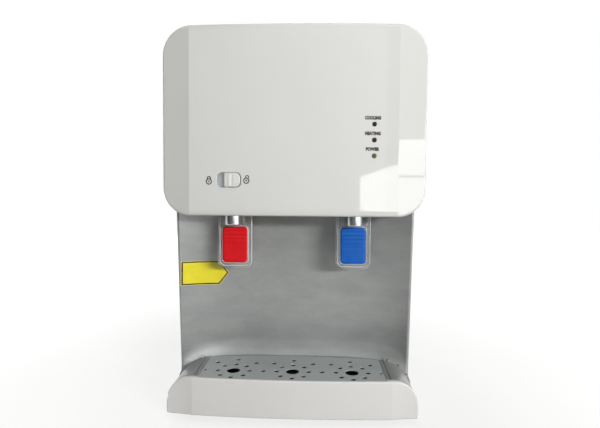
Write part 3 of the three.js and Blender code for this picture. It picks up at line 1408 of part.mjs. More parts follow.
function buildDrain() {
  const flangeY = [BACK_Y + GAP, BACK_Y + GAP + DRAIN.flangeThickness];
  const endY = flangeY[1] + DRAIN.out;
  const outlet = join(
    rod('y', DRAIN.radius, [BACK_INNER_Y - DRAIN.inside, endY], [0, 0], 24),
    rod('y', DRAIN.flange, flangeY, [0, 0], 24),
  );
  const bore = rod('y', DRAIN.bore, [BACK_INNER_Y - DRAIN.inside - OVER, endY + OVER], [0, 0], 16);
  addPiece('drain_outlet', cut(outlet, bore), 'darkPlastic').position.set(DRAIN.x, 0, DRAIN.z);
  const capEnd = endY + GAP + DRAIN_CAP.end;
  const cap = cut(
    rod('y', DRAIN_CAP.radius, [capEnd - DRAIN_CAP.length, capEnd], [0, 0], 16),
    rod('y', DRAIN.radius + GAP, [capEnd - DRAIN_CAP.length - OVER, endY + GAP], [0, 0], 24),
  );
  addPiece('drain_cap', cap, 'silicone').position.set(DRAIN.x, 0, DRAIN.z);
}

buildBase();
buildFascia();
buildBayPanel();
buildTray();
buildGrille();
buildMarker();
buildTap('hot', -1, 'hotRed');
buildTap('cold', 1, 'coldBlue');
buildFrontCover();
buildLock();
buildLamps();
buildSides();
buildBackPanel();
buildTopCover();
buildBottleSeat();
buildColdTank();
buildCooler();
buildFan();
buildShelf();
buildHotTank();
buildHoses();
buildPowerBoard();
buildBackFittings();
buildDrain();

// Centre the model on its own box; its feet already stand at z = 0.
const extent = new THREE.Box3().setFromObject(dispenser);
dispenser.position.y = -(extent.min.y + extent.max.y) / 2;

export default dispenser;
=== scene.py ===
"""A countertop hot and cold water dispenser: the looks of its pieces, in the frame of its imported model.

Every shape is worked out in millimetres. x is across, y runs back from the plane of the folds
in the base's front band, and z is the height above the worktop.
"""

import json
import math

import bmesh
import bpy
import numpy as np
from mathutils import Matrix, Vector

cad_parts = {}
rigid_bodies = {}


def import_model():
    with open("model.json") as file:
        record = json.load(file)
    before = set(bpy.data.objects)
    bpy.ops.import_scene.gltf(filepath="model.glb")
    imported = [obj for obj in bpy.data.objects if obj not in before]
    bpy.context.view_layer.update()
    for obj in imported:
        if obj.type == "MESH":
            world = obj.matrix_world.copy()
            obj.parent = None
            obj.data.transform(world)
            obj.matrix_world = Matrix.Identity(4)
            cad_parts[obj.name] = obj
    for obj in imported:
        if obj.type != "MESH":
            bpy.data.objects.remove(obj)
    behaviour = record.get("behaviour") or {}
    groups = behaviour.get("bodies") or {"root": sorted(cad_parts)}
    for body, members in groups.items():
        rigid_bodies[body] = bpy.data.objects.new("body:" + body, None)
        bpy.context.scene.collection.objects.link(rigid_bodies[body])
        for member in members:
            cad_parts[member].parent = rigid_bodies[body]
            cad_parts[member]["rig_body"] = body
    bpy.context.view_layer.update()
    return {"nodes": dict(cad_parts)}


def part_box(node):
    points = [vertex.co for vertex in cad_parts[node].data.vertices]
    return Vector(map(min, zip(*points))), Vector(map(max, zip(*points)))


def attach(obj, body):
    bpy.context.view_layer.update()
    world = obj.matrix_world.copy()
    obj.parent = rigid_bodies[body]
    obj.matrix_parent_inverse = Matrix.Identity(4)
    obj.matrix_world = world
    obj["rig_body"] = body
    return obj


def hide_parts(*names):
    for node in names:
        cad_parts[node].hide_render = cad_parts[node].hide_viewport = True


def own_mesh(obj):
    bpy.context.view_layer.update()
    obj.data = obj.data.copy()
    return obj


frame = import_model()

MM = 0.001
FASCIA_BULGE = 4.2
FOLD_PLANE = np.array([0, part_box("base_fascia")[0].y / MM + FASCIA_BULGE, 0])
QUARTER = math.pi / 2
# Points closer than this are joined.
WELD = 0.004
# The clearance between two mouldings, and the thickness of the large ones.
GAP = 0.3
SKIN = 2.4


def corners(node):
    """The lowest and highest corners of a CAD node, in millimetres from the fold plane."""
    low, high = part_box(node)
    return np.array(low) / MM - FOLD_PLANE, np.array(high) / MM - FOLD_PLANE


# ---------------------------------------------------------------- meshes from grids
def stops(*marks):
    """Positions from mark to mark: (start, steps, next, steps, next ...), each stretch divided evenly."""
    stretches = [
        np.linspace(marks[i], marks[i + 2], marks[i + 1] + 1)[(i > 0) :]
        for i in range(0, len(marks) - 2, 2)
    ]
    return np.concatenate(stretches)


def quads(rows, columns, closed=False, flip=False):
    """The quads of a grid of points stored row by row. closed joins its last column to its first."""
    row = np.arange(rows - 1)[:, None] * columns
    near = np.arange(columns if closed else columns - 1)[None, :]
    far = (near + 1) % columns
    faces = np.stack([row + near, row + far, row + columns + far, row + columns + near], -1)
    return (faces[..., ::-1] if flip else faces).reshape(-1, 4)


class Patches:
    """Grids of points gathered into one mesh."""

    def __init__(self):
        self.points, self.faces, self.count = [], [], 0

    def grid(self, points, closed=False, flip=False, keep=None):
        """Adds a grid (rows, columns, 3). keep, if given, marks the cells that stay."""
        rows, columns = points.shape[:2]
        faces = quads(rows, columns, closed, flip) + self.count
        if keep is not None:
            faces = faces[keep.reshape(-1)]
        self.points.append(points.reshape(-1, 3))
        self.faces.append(faces)
        self.count += rows * columns
        return self

    def lathe(self, profile, centre, axis="z", steps=48, flip=False):
        """Turns a profile of (radius, height) round an axis through centre: radius times the cosine and sine
        of the angle across the axis, height along it."""
        angle = np.arange(steps) * (2 * math.pi / steps)
        radius, height = np.array(profile, float).T
        a = radius[:, None] * np.cos(angle)
        b = radius[:, None] * np.sin(angle)
        h = np.broadcast_to(height[:, None], a.shape)
        points = np.stack({"z": (a, b, h), "y": (b, h, a), "x": (h, a, b)}[axis], -1)
        return self.grid(points + np.array(centre), closed=True, flip=flip)


def put(name, data):
    """A new object in the scene."""
    item = bpy.data.objects.new(name, data)
    bpy.context.scene.collection.objects.link(item)
    return item


def piece(name, patches, body, material, stands_for=None, wall=0, rounding=0, sharp=35):
    """Puts patches into a mesh, joins them where they meet, gives the sheet its wall and its small edge
    rounding, and hands the piece to its body."""
    mesh = bpy.data.meshes.new(name)
    points = (np.concatenate(patches.points) + FOLD_PLANE) * MM
    mesh.from_pydata(points, [], np.concatenate(patches.faces))
    edit = bmesh.new()
    edit.from_mesh(mesh)
    bmesh.ops.remove_doubles(edit, verts=edit.verts, dist=WELD * MM)
    bmesh.ops.dissolve_degenerate(edit, edges=edit.edges, dist=WELD * MM / 4)
    if not wall:
        bmesh.ops.recalc_face_normals(edit, faces=edit.faces)
    edit.to_mesh(mesh)
    edit.free()
    item = put(name, mesh)
    if wall:
        skin = item.modifiers.new("wall", "SOLIDIFY")
        skin.thickness = wall * MM
        skin.offset = -1
    if rounding:
        soften(item, rounding)
    return hand_over(bake(item), body, material, stands_for, sharp)


def soften(item, width):
    """Rounds the edges of a piece that turn by more than 40 degrees."""
    edge = item.modifiers.new("edge", "BEVEL")
    edge.width = width * MM
    edge.segments = 2
    edge.limit_method = "ANGLE"
    edge.angle_limit = math.radians(40)


def bake(item):
    """Applies a piece's modifiers to its mesh."""
    if item.modifiers:
        graph = bpy.context.evaluated_depsgraph_get()
        mesh = bpy.data.meshes.new_from_object(item.evaluated_get(graph))
        item.modifiers.clear()
        item.data = mesh
        mesh.name = item.name
    return item


def hand_over(item, body, material, stands_for=None, sharp=35):
    """Gives a finished mesh its shading, material and body, and hides the CAD node it stands for."""
    item.data.polygons.foreach_set("use_smooth", np.ones(len(item.data.polygons), bool))
    item.data.set_sharp_from_angle(angle=math.radians(sharp))
    item.data.materials.clear()
    item.data.materials.append(material)
    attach(item, body)
    if stands_for:
        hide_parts(stands_for)
    return item


# ---------------------------------------------------------------- material nodes
def shade(hexa):
    """An sRGB colour like "d8d8d4" as linear red, green, blue, alpha."""
    level = np.array([int(hexa[i : i + 2], 16) for i in (0, 2, 4)]) / 255
    linear = np.where(level <= 0.04045, level / 12.92, ((level + 0.055) / 1.055) ** 2.4)
    return (*(float(v) for v in linear), 1.0)


def add(material, kind, settings=None, **inputs):
    """Adds a node. settings are its properties. Each input is a value, or an output to link; x__y names
    the input "x y", and i0, i1 name an input by its place."""
    tree = material.node_tree
    node = tree.nodes.new(kind)
    for key, value in (settings or {}).items():
        setattr(node, key, value)
    for key, value in inputs.items():
        by_place = key[0] == "i" and key[1:].isdigit()
        socket = node.inputs[int(key[1:]) if by_place else key.replace("__", " ")]
        if isinstance(value, bpy.types.NodeSocket):
            tree.links.new(value, socket)
        else:
            socket.default_value = value
    return node


def finish(name, **inputs):
    """A new material with its Principled shader: the material, the shader and its Object coordinates."""
    material = bpy.data.materials.new(name)
    material.use_nodes = True
    material.node_tree.nodes.clear()
    shader = add(material, "ShaderNodeBsdfPrincipled", **inputs)
    add(material, "ShaderNodeOutputMaterial", Surface=shader.outputs["BSDF"])
    place = add(material, "ShaderNodeTexCoord").outputs["Object"]
    return material, shader, place


def noise(material, place, size, detail=2.0, roughness=0.5, stretch=(1, 1, 1)):
    """Noise in blotches about size millimetres across, drawn out along an axis where stretch is under 1."""
    where = add(material, "ShaderNodeMapping", Vector=place, Scale=stretch)
    return add(
        material, "ShaderNodeTexNoise", Vector=where.outputs["Vector"], Scale=1 / (size * MM),
        Detail=detail, Roughness=roughness,
    ).outputs["Fac"]


def tint(material, shader, amount, *colours):
    """Colours the surface by amount, blended from one pair of (position, hex colour) to the other."""
    ramp = add(material, "ShaderNodeValToRGB", Fac=amount)
    for mark, (position, hexa) in zip(ramp.color_ramp.elements, colours):
        mark.position = position
        mark.color = shade(hexa)
    material.node_tree.links.new(ramp.outputs["Color"], shader.inputs["Base Color"])


def gloss(material, shader, amount, low, high):
    """Varies the surface's roughness from low to high with amount."""
    spread = add(material, "ShaderNodeMapRange", Value=amount, To__Min=low, To__Max=high)
    material.node_tree.links.new(spread.outputs["Result"], shader.inputs["Roughness"])


def relief(material, shader, height, depth):
    """Raises the surface by height times depth in millimetres."""
    bump = add(material, "ShaderNodeBump", Height=height, Strength=1.0, Distance=depth * MM)
    material.node_tree.links.new(bump.outputs["Normal"], shader.inputs["Normal"])


def moulded(name, colour, darker, rough, grain, depth, size=70, ior=1.53, **inputs):
    """A moulded plastic: faint clouds in its colour, a gloss that varies a little, and a fine skin."""
    material, shader, place = finish(name, IOR=ior, **inputs)
    tint(material, shader, noise(material, place, size, detail=3), (0.3, darker), (0.7, colour))
    gloss(material, shader, noise(material, place, size=9, detail=4), rough * 0.85, rough * 1.2)
    relief(material, shader, noise(material, place, grain), depth)
    return material


def metal(name, colour, darker, rough, stretch):
    """A bare metal with its drawing or rolling marks along one axis."""
    material, shader, place = finish(name, Metallic=1.0)
    lines = noise(material, place, size=0.6, detail=3, stretch=stretch)
    tint(material, shader, lines, (0.25, darker), (0.75, colour))
    gloss(material, shader, lines, rough * 0.8, rough * 1.25)
    relief(material, shader, lines, depth=0.004)
    return material


def lens(name, colour, darker):
    """A tinted lens, unlit: dark and wet-looking, a little clouded."""
    return moulded(
        name, colour, darker, rough=0.12, grain=1.5, depth=0.01, size=3, ior=1.5, Specular__IOR__Level=0.3,
    )


# ---------------------------------------------------------------- the materials
# Glossy white ABS, injection moulded and polished: bright, faintly warm, a soft mirror of the room.
gloss_white = moulded("polished_white_abs", "e1e1dd", "dededa", 0.035, grain=6, depth=0.001, size=160)

# The base band's copy of the cover's plastic: a touch warmer, and painted a touch lighter, which stands in
# for the gloss light that the cover catches and the band does not.
painted_lighter_base_white = moulded("polished_warm_white_abs_painted_lighter", "e8e6e3", "e4e2df", 0.06, grain=6, depth=0.001, size=160)

# Plain white ABS of the back and the pan: the same plastic from an etched mould, so it is duller.
etched_white = moulded("etched_white_abs", "e2e2dc", "dcdcd5", rough=0.42, grain=0.7, depth=0.02)

# Silver lacquer on ABS: grey with fine aluminium flake, satin, with faint flow clouds from spraying.
silver_lacquer, silver_shader, silver_place = finish("silver_lacquered_abs", Metallic=0.3, IOR=1.5)
silver_clouds = noise(silver_lacquer, silver_place, size=60, detail=6, roughness=0.6, stretch=(1, 1, 2.4))
tint(silver_lacquer, silver_shader, silver_clouds, (0.3, "949695"), (0.7, "a4a6a4"))
# The real flake is finer than 0.5 mm, and is drawn at that size so that it shows.
silver_flake = noise(silver_lacquer, silver_place, size=0.5, detail=1)
gloss(silver_lacquer, silver_shader, silver_flake, 0.24, 0.34)
relief(silver_lacquer, silver_shader, silver_flake, depth=0.006)

# Grey ABS of the drip grille, moulded with aluminium flake: satin, so it takes a soft light from the wall.
grille_grey = moulded("flaked_grey_abs", "c8cdcd", "c1c6c6", rough=0.4, grain=0.6, depth=0.01, Metallic=0.4)

# Black ABS of the tray, the nuts and the rear fittings: matt from an etched mould.
black_plastic = moulded("black_abs", "2c2e30", "262829", rough=0.5, grain=0.6, depth=0.03)

# Clear acrylic of the paddles: polished, so only its edges and highlights show. Faces that look sideways, the
# sawn and polished edges, are painted milky: a painted highlight for the light that such edges gather.
clear_acrylic, clear_shader, clear_place = finish("clear_acrylic", IOR=1.49)
clear_clouds = noise(clear_acrylic, clear_place, size=20)
tint(clear_acrylic, clear_shader, clear_clouds, (0.3, "f4f7f7"), (0.7, "fafcfc"))
gloss(clear_acrylic, clear_shader, noise(clear_acrylic, clear_place, size=6), 0.02, 0.06)
looks = add(clear_acrylic, "ShaderNodeTexCoord").outputs["Normal"]
looks_back = add(clear_acrylic, "ShaderNodeSeparateXYZ", Vector=looks).outputs["Y"]
is_face = add(clear_acrylic, "ShaderNodeMath", {"operation": "ABSOLUTE"}, i0=looks_back).outputs["Value"]
clearness = add(
    clear_acrylic, "ShaderNodeMapRange", Value=is_face,
    From__Min=0.6, From__Max=0.99, To__Min=0.15, To__Max=1.0,
)
clear_acrylic.node_tree.links.new(clearness.outputs["Result"], clear_shader.inputs["Transmission Weight"])

# Red and blue ABS of the inserts: deep colour under a soft gloss.
red_plastic = moulded(
    "red_abs", "e80e1b", "dc0b17", rough=0.3, grain=1.2, depth=0.01, size=12, Specular__IOR__Level=0.25,
)
blue_plastic = moulded(
    "blue_abs", "0a64c4", "085ab4", rough=0.24, grain=1.2, depth=0.01, size=12, Specular__IOR__Level=0.3,
)

# Chromium plate on brass: a soft mirror with the faintest ripple.
chrome, chrome_shader, chrome_place = finish("chromium_plate", Metallic=1.0)
tint(chrome, chrome_shader, noise(chrome, chrome_place, size=12), (0.3, "b9bbbc"), (0.7, "c4c6c7"))
gloss(chrome, chrome_shader, noise(chrome, chrome_place, size=3, detail=3), 0.16, 0.24)
relief(chrome, chrome_shader, noise(chrome, chrome_place, size=5), depth=0.01)

# Drawn stainless steel of the tanks, pins and springs: fine hoop lines.
stainless = metal("drawn_stainless_steel", "babcbe", "a3a6a8", 0.3, (1, 1, 12))
# Extruded aluminium of the heat sink and block: dull, with extrusion lines.
aluminium = metal("extruded_aluminium", "c4c7c9", "b3b6b8", 0.4, (1, 1, 0.08))

# Hot-dip galvanised sheet of the brackets: pale zinc with grey spangle.
SPANGLE = 6
galvanised, zinc_shader, zinc_place = finish("galvanised_steel_sheet", Metallic=0.85)
spangle = add(galvanised, "ShaderNodeTexVoronoi", Vector=zinc_place, Scale=1 / (SPANGLE * MM))
spangle_level = add(galvanised, "ShaderNodeSeparateColor", Color=spangle.outputs["Color"]).outputs["Red"]
tint(galvanised, zinc_shader, spangle_level, (0, "b4b8bb"), (1, "cdd1d3"))
gloss(galvanised, zinc_shader, spangle_level, 0.38, 0.55)

# Black rubber of the feet: matt, with a fine powdery skin.
rubber = moulded("black_rubber", "232324", "1c1c1d", rough=0.8, grain=0.5, depth=0.04, ior=1.5)

# Silicone of the hoses, seals and bottle seat: milky and satin, and it passes a little light.
silicone = moulded(
    "milky_silicone", "dfe1de", "d6d9d5", rough=0.42, grain=0.8, depth=0.01, ior=1.41,
    Subsurface__Weight=0.25, Subsurface__Radius=(0.004, 0.004, 0.0035),
)

# Expanded polystyrene of the tank's jacket: white beads, pressed together.
BEAD = 4
foam, foam_shader, foam_place = finish("expanded_polystyrene", IOR=1.5, Roughness=0.85)
beads = add(foam, "ShaderNodeTexVoronoi", Vector=foam_place, Scale=1 / (BEAD * MM)).outputs["Distance"]
tint(foam, foam_shader, beads, (0.2, "f3f3f0"), (0.8, "e2e2dd"))
relief(foam, foam_shader, beads, depth=-0.3)

# Grey-brown needled felt round the hot tank: soft, with upright fibres about 3 mm long.
felt, felt_shader, felt_place = finish("needled_felt", IOR=1.5, Roughness=0.95, Sheen__Weight=0.3)
fibres = noise(felt, felt_place, size=0.9, detail=5, roughness=0.7, stretch=(1, 1, 0.3))
tint(felt, felt_shader, fibres, (0.3, "5f5b54"), (0.7, "7d786f"))
relief(felt, felt_shader, fibres, depth=0.5)

# Green solder mask over fibreglass: glossy, with copper tracks about 1.4 mm wide that show through it.
TRACK_GRID = 14
circuit, circuit_shader, circuit_place = finish("solder_masked_fibreglass", IOR=1.55, Roughness=0.35)
tracks = add(
    circuit, "ShaderNodeTexBrick", {"offset": 0.5}, Vector=circuit_place, Color1=shade("1e6b3a"),
    Color2=shade("1a6034"), Mortar=shade("2c8449"), Scale=1 / (TRACK_GRID * MM), Mortar__Size=0.05,
)
circuit.node_tree.links.new(tracks.outputs["Color"], circuit_shader.inputs["Base Color"])
relief(circuit, circuit_shader, tracks.outputs["Fac"], depth=0.03)

# Alumina ceramic of the thermoelectric module: white, faintly speckled.
ceramic = moulded("alumina_ceramic", "eeeeea", "e4e4df", rough=0.5, grain=0.4, depth=0.01, size=3)

# Printed vinyl film of the marker: strong yellow, satin, with a slightly uneven print.
yellow_film = moulded("yellow_vinyl_film", "f2e52a", "ecdd1f", rough=0.38, grain=2.5, depth=0.01, size=14)

# Black printing ink on the marker and the cover: satin, a little uneven.
ink = moulded("black_printing_ink", "141412", "1b1b18", rough=0.45, grain=0.3, depth=0.003, size=2)

# Cast epoxy of the lamps' lenses.
green_lens = lens("green_epoxy_lens", "1e2620", "161c18")
red_lens = lens("red_epoxy_lens", "3a1014", "2c0c0f")
yellow_lens = lens("yellow_epoxy_lens", "6f6b35", "5a5729")


# ---------------------------------------------------------------- front cover and base band
COVER_LOW, COVER_HIGH = corners("front_cover")
BAND_LOW, BAND_HIGH = corners("base_fascia")
# The two folded fronts: half their width, the width, fall and hollow of a facet, how far the middle bows,
# y of the rim's back and of the notches in it, the edge's rounding, the heights, and the corners' radii.
COVER = {
    "half": COVER_HIGH[0], "facet": 33.4, "drop": 7.0, "hollow": 0.12, "bulge": 4.0, "rim": 20.0,
    "notch": 7.0, "edge": 3.0, "low": COVER_LOW[2], "high": COVER_HIGH[2], "top": 33.0, "bottom": 33.0,
}
BAND = {
    "half": BAND_HIGH[0], "facet": 32.0, "drop": 4.0, "hollow": 0.75, "bulge": FASCIA_BULGE, "rim": 6.0,
    "notch": 5.9, "edge": 1.8, "low": BAND_LOW[2], "high": BAND_HIGH[2], "top": 31.0, "bottom": 3.2,
}
GRILLE_LOW, GRILLE_HIGH = corners("drip_grille")
TRAY_HALF = GRILLE_HIGH[0] + GAP
# The lock's slot: its middle, half its size, its corners' radius, and half the box of cells round it.
LOCK_X, LOCK_Z = -74.1, 289.3
SLOT = np.array([14.3, 8.75])
SLOT_RADIUS = 6.0
SLOT_BOX = (17, 11.5)
# The lamps' holes, and half the box of cells round each.
LAMP_HOLE, LAMP_BOX = 2.75, 4
LAMP_X = sum(c[0] for c in corners("cooling_lamp")) / 2
LAMP_Z = [sum(c[2] for c in corners(f"{lamp}_lamp")) / 2 for lamp in ("cooling", "heating", "power")]
TAP_X = 73.4
# Half the width of the notch in the cover's rim over each tap.
NOTCH = 12.0


def bow_radius(half, rise):
    """The radius of an arc that rises this much over half its chord."""
    return (half**2 + rise**2) / (2 * rise)


def rim_of(grid):
    """The points round a grid's edge, as a closed loop."""
    return np.concatenate([grid[0, :-1], grid[:-1, -1], grid[-1, :0:-1], grid[:0:-1, 0]])


def front_surface(front, x):
    """y of a folded front at x: an arc that bows forward between the folds, and beyond each a facet that
    falls back, a little hollow, as a parabola."""
    fold = front["half"] - front["facet"]
    radius = bow_radius(fold, front["bulge"])
    bow = radius - front["bulge"] - np.sqrt(radius**2 - np.minimum(np.abs(x), fold) ** 2)
    share = np.maximum(np.abs(x) - fold, 0) / front["facet"]
    return bow + front["drop"] * share * (1 + front["hollow"] * (1 - share))


def folded_front(front, middle, rows, windows=(), notches=(), open_rim=None):
    """A folded cover: a sheet of columns whose ends follow its rounded outline, a quarter-round edge all the
    way round, and a rim that runs straight back. windows are (centre, core, radius, box) holes in the sheet.
    notches are the x ranges left out of the bottom rim, open_rim the x range left out of the top one."""
    half, edge = front["half"], front["edge"]
    fold = half - front["facet"]
    low, high = front["low"], front["high"]
    crease = 0.7

    def corner_columns(radius):
        """Columns round a corner, evenly spaced in angle."""
        return half - radius + (radius - edge) * np.sin(np.linspace(0, QUARTER, 13))[1:]

    # Columns lie close on both sides of each fold, which keeps it crisp.
    outer = corner_columns(front["top"])
    outer = np.concatenate([[fold, fold + crease], outer[outer > fold + crease + 0.2]])
    if front["bottom"] < front["top"]:
        outer = np.unique(np.concatenate([outer, corner_columns(front["bottom"])]))
    x = np.concatenate([-outer[::-1], [crease - fold], middle, [fold - crease], outer])

    def end(x, radius):
        """How far the outline is drawn in at x, at a corner of this radius, with the edge's inset."""
        into = np.maximum(np.abs(x) - (half - radius), 0)
        return radius - np.sqrt(np.maximum((radius - edge) ** 2 - into**2, 0))

    bottom = low + end(x, front["bottom"])
    top = high - end(x, front["top"])
    share = (rows - (low + edge)) / (high - low - 2 * edge)
    z = bottom + (top - bottom) * share[:, None]
    y = np.broadcast_to(front_surface(front, x), z.shape)
    sheet = np.stack([np.broadcast_to(x, z.shape), y, z], -1)

    keep = np.ones((len(rows) - 1, len(x) - 1), bool)
    patches = Patches()
    for centre, core, hole, box in windows:
        left, right = (int(np.argmin(np.abs(x - (centre[0] + side * box[0])))) for side in (-1, 1))
        base, head = (int(np.argmin(np.abs(rows - (centre[1] + side * box[1])))) for side in (-1, 1))
        keep[base:head, left:right] = False
        loop = rim_of(sheet[base : head + 1, left : right + 1])
        patches.grid(round_hole(front, loop, np.array(centre), np.array(core), hole), closed=True)
    patches.grid(sheet, keep=keep)

    loop = rim_of(sheet)
    radii = np.where(loop[:, 2] > (low + high) / 2, front["top"], front["bottom"])
    core = np.stack(
        [
            np.clip(loop[:, 0], radii - half, half - radii),
            np.clip(loop[:, 2], low + front["bottom"], high - front["top"]),
        ],
        -1,
    )
    out = loop[:, [0, 2]] - core
    out /= np.linalg.norm(out, axis=1, keepdims=True)
    turn = np.linspace(0, QUARTER, 7)
    reach = np.concatenate([edge * np.sin(turn), [edge] * 3])
    rings = np.repeat(loop[None], len(reach), 0)
    rings[:, :, [0, 2]] += reach[:, None, None] * out
    rings[: len(turn), :, 1] += edge * (1 - np.cos(turn))[:, None]
    behind = np.minimum(loop[:, 1] + edge + crease, front["rim"] - 0.2)
    rings[-3, :, 1] = behind
    rings[-2, :, 1] = np.maximum(behind + 0.1, front["notch"])
    rings[-1, :, 1] = front["rim"]
    keep = np.ones((len(rings) - 1, len(loop)), bool)
    follow = np.roll(loop, -1, 0)
    left, right = np.minimum(loop[:, 0], follow[:, 0]), np.maximum(loop[:, 0], follow[:, 0])

    def cells(start, stop, height):
        """The cells of the rim from x start to x stop along the edge at this height."""
        level = (np.abs(loop[:, 2] - height) < 0.01) & (np.abs(follow[:, 2] - height) < 0.01)
        return level & (left > start - 0.1) & (right < stop + 0.1)

    for start, stop in notches:
        keep[-1, cells(start, stop, low + edge)] = False
    if open_rim:
        keep[-2:, cells(*open_rim, high - edge)] = False
    patches.grid(rings, closed=True, flip=True, keep=keep)
    return patches


def round_hole(front, loop, centre, core, radius):
    """Rings from a loop on a folded front to a hole. Each point goes straight to the nearest point of the
    hole's outline, which is every point at radius from its core rectangle; then round the edge and back."""
    rounding = 0.5
    flat = loop[:, [0, 2]] - centre
    nearest = np.clip(flat, -core, core)
    away = (flat - nearest) / np.linalg.norm(flat - nearest, axis=1, keepdims=True)
    brim = nearest + away * (radius + rounding)
    turn = np.linspace(0, QUARTER, 5)[1:]
    steps = [flat + (brim - flat) * share for share in (0, 0.4, 0.75, 1)]
    steps += [nearest + away * (radius + rounding * (1 - math.sin(a))) for a in turn]
    steps.append(steps[-1])
    drop = np.array([0, 0, 0, 0, *(rounding * (1 - np.cos(turn))), SKIN])
    flat = np.stack(steps) + centre
    return np.stack([flat[..., 0], front_surface(front, flat[..., 0]) + drop[:, None], flat[..., 1]], -1)


cover_fold = COVER["half"] - COVER["facet"]
cover_columns = stops(
    -cover_fold + 4, 6, LOCK_X - SLOT_BOX[0], 3, -TAP_X - NOTCH, 10, -TAP_X + NOTCH, 3,
    LOCK_X + SLOT_BOX[0], 24, TAP_X - NOTCH, 6, TAP_X + NOTCH, 2, LAMP_X - LAMP_BOX, 8,
    LAMP_X + LAMP_BOX, 5, cover_fold - 4,
)
cover_rows = stops(
    COVER["low"] + COVER["edge"], 7, LOCK_Z - SLOT_BOX[1], 12, LOCK_Z + SLOT_BOX[1], 3,
    *(mark for z in LAMP_Z[::-1] for mark in (z - LAMP_BOX, 8, z + LAMP_BOX, 4)),
    COVER["high"] - COVER["edge"] - 60, 14, COVER["high"] - COVER["edge"],
)
cover_windows = [((LOCK_X, LOCK_Z), SLOT - SLOT_RADIUS, SLOT_RADIUS, SLOT_BOX)]
cover_windows += [((LAMP_X, z), (0, 0), LAMP_HOLE, (LAMP_BOX, LAMP_BOX)) for z in LAMP_Z]
piece(
    "front_cover_shell",
    folded_front(
        COVER, cover_columns, cover_rows, cover_windows,
        notches=[(x - NOTCH, x + NOTCH) for x in (-TAP_X, TAP_X)],
    ),
    "housing", gloss_white, "front_cover", wall=SKIN, sharp=50,
)

band_fold = BAND["half"] - BAND["facet"]
band_columns = stops(-band_fold + 3, 1, -TRAY_HALF, 60, TRAY_HALF, 1, band_fold - 3)
band_rows = stops(BAND["low"] + BAND["edge"], 12, BAND["high"] - BAND["edge"])
piece(
    "base_front_band",
    folded_front(BAND, band_columns, band_rows, open_rim=(-TRAY_HALF, TRAY_HALF)),
    "housing", painted_lighter_base_white, "base_fascia", wall=2.2, sharp=50,
)


# ---------------------------------------------------------------- bay panel
DECK_Z = BAND["high"]
PANEL_LOW, PANEL_HIGH = corners("front_bay_panel")
# The bay's wall at deck level: y at its ends, how much deeper its middle lies, half the width of its face,
# its lean per millimetre of height, the rounding of its ends, and how far they return.
WALL = {"edge": 57.0, "depth": 28.0, "flat": 147.0, "lean": 0.088, "lip": 3.0, "returns": 16.0}
# The radius of the deck's rolled shoulders, and x where they start.
SHOULDER, ROLL_X = 30.0, 120.0
# How far the cove stands out at deck level, and its height.
COVE = (5.5, 22.0)
COVE_POWER = 1.6
# Above this height the wall has no returned ends.
STEP_Z = COVER["low"] + 37.7
DECK_FRONT = BAND["rim"] + GAP
# A fine groove runs back along each wing of the deck.
GROOVE_X, GROOVE_DEPTH = 118.0, 1.3
# The rear edge of the grille: y of its middle, and how far it bows.
REAR_Y, REAR_BOW = 76.0, 7.5
REAR_RADIUS = bow_radius(GRILLE_HIGH[0], REAR_BOW)


def wall_line(x):
    """y of the bay's wall at deck level: flat across the middle, curving forward as the fourth power of x."""
    return WALL["edge"] + WALL["depth"] * (1 - np.minimum(np.abs(x) / WALL["flat"], 1) ** 4)


def wall_y(x, z):
    """y of the bay's wall, which leans forward with height."""
    return wall_line(x) - WALL["lean"] * (z - DECK_Z)


def tray_loop(side_inset, front_inset=None):
    """The outline of the grille, drawn in: a front arc that follows the base band's bow, straight ends, and a
    rear arc that bows back."""
    front_inset = side_inset if front_inset is None else front_inset
    half = GRILLE_HIGH[0] - side_inset
    front_radius = bow_radius(BAND["half"] - BAND["facet"], BAND["bulge"])
    behind_band = 2.8
    reach = front_radius - behind_band - front_inset
    across = np.linspace(-half, half, 73)
    front = front_radius - BAND["bulge"] - np.sqrt(reach**2 - across**2)
    rear = REAR_Y - REAR_RADIUS + np.sqrt((REAR_RADIUS - side_inset) ** 2 - across**2)
    side = np.linspace(front[-1], rear[-1], 13)[1:-1]
    return np.concatenate(
        [
            np.stack([across, front], -1),
            np.stack([np.full(11, half), side], -1),
            np.stack([across, rear], -1)[::-1],
            np.stack([np.full(11, -half), side[::-1]], -1),
        ]
    )


def rear_edge(x):
    """y of the tray opening's rear edge at x."""
    return REAR_Y - REAR_RADIUS + np.sqrt((REAR_RADIUS + GAP) ** 2 - x**2)


# The rounded lip of the deck's edges, as (step back, drop).
LIP = ((0, 0.9), (0.27, 0.27), (0.9, 0))


def deck_and_wall(x, level, line, deck, groove=0.0):
    """Rows of the bay panel over columns x: the deck at the y rows of deck, a cove that stands out by a power
    of the height left to its top, and the wall. level is the deck's height at each column and line the wall's
    y there at deck level. The deck's first three rows round its front edge down."""
    foot = line - WALL["lean"] * (level - DECK_Z) - COVE[0]
    deck = np.concatenate([deck, [(deck[-1] + foot) / 2, foot]])
    share = (np.linspace(0, 1, 13)[1:, None]) ** 1.3
    cove_z = level + COVE[1] * share
    cove_y = line - WALL["lean"] * (cove_z - DECK_Z) - COVE[0] * (1 - share) ** COVE_POWER
    start = cove_z[-1]
    rise = []
    for mark, count in [(COVER["low"], 26), (STEP_Z, 5), (PANEL_HIGH[2], 2)]:
        rise += [start + (mark - start) * s for s in np.linspace(0, 1, count + 1)[1:]]
        start = np.full_like(start, mark)
    rise = np.stack(rise)
    y = np.concatenate([deck, cove_y, line - WALL["lean"] * (rise - DECK_Z)])
    z = np.concatenate([level - groove * (np.arange(len(deck)) < len(deck) - 1)[:, None], cove_z, rise])
    z[: len(LIP)] -= np.array(LIP)[:, 1:]
    return np.stack([np.broadcast_to(x, z.shape), y, z], -1)


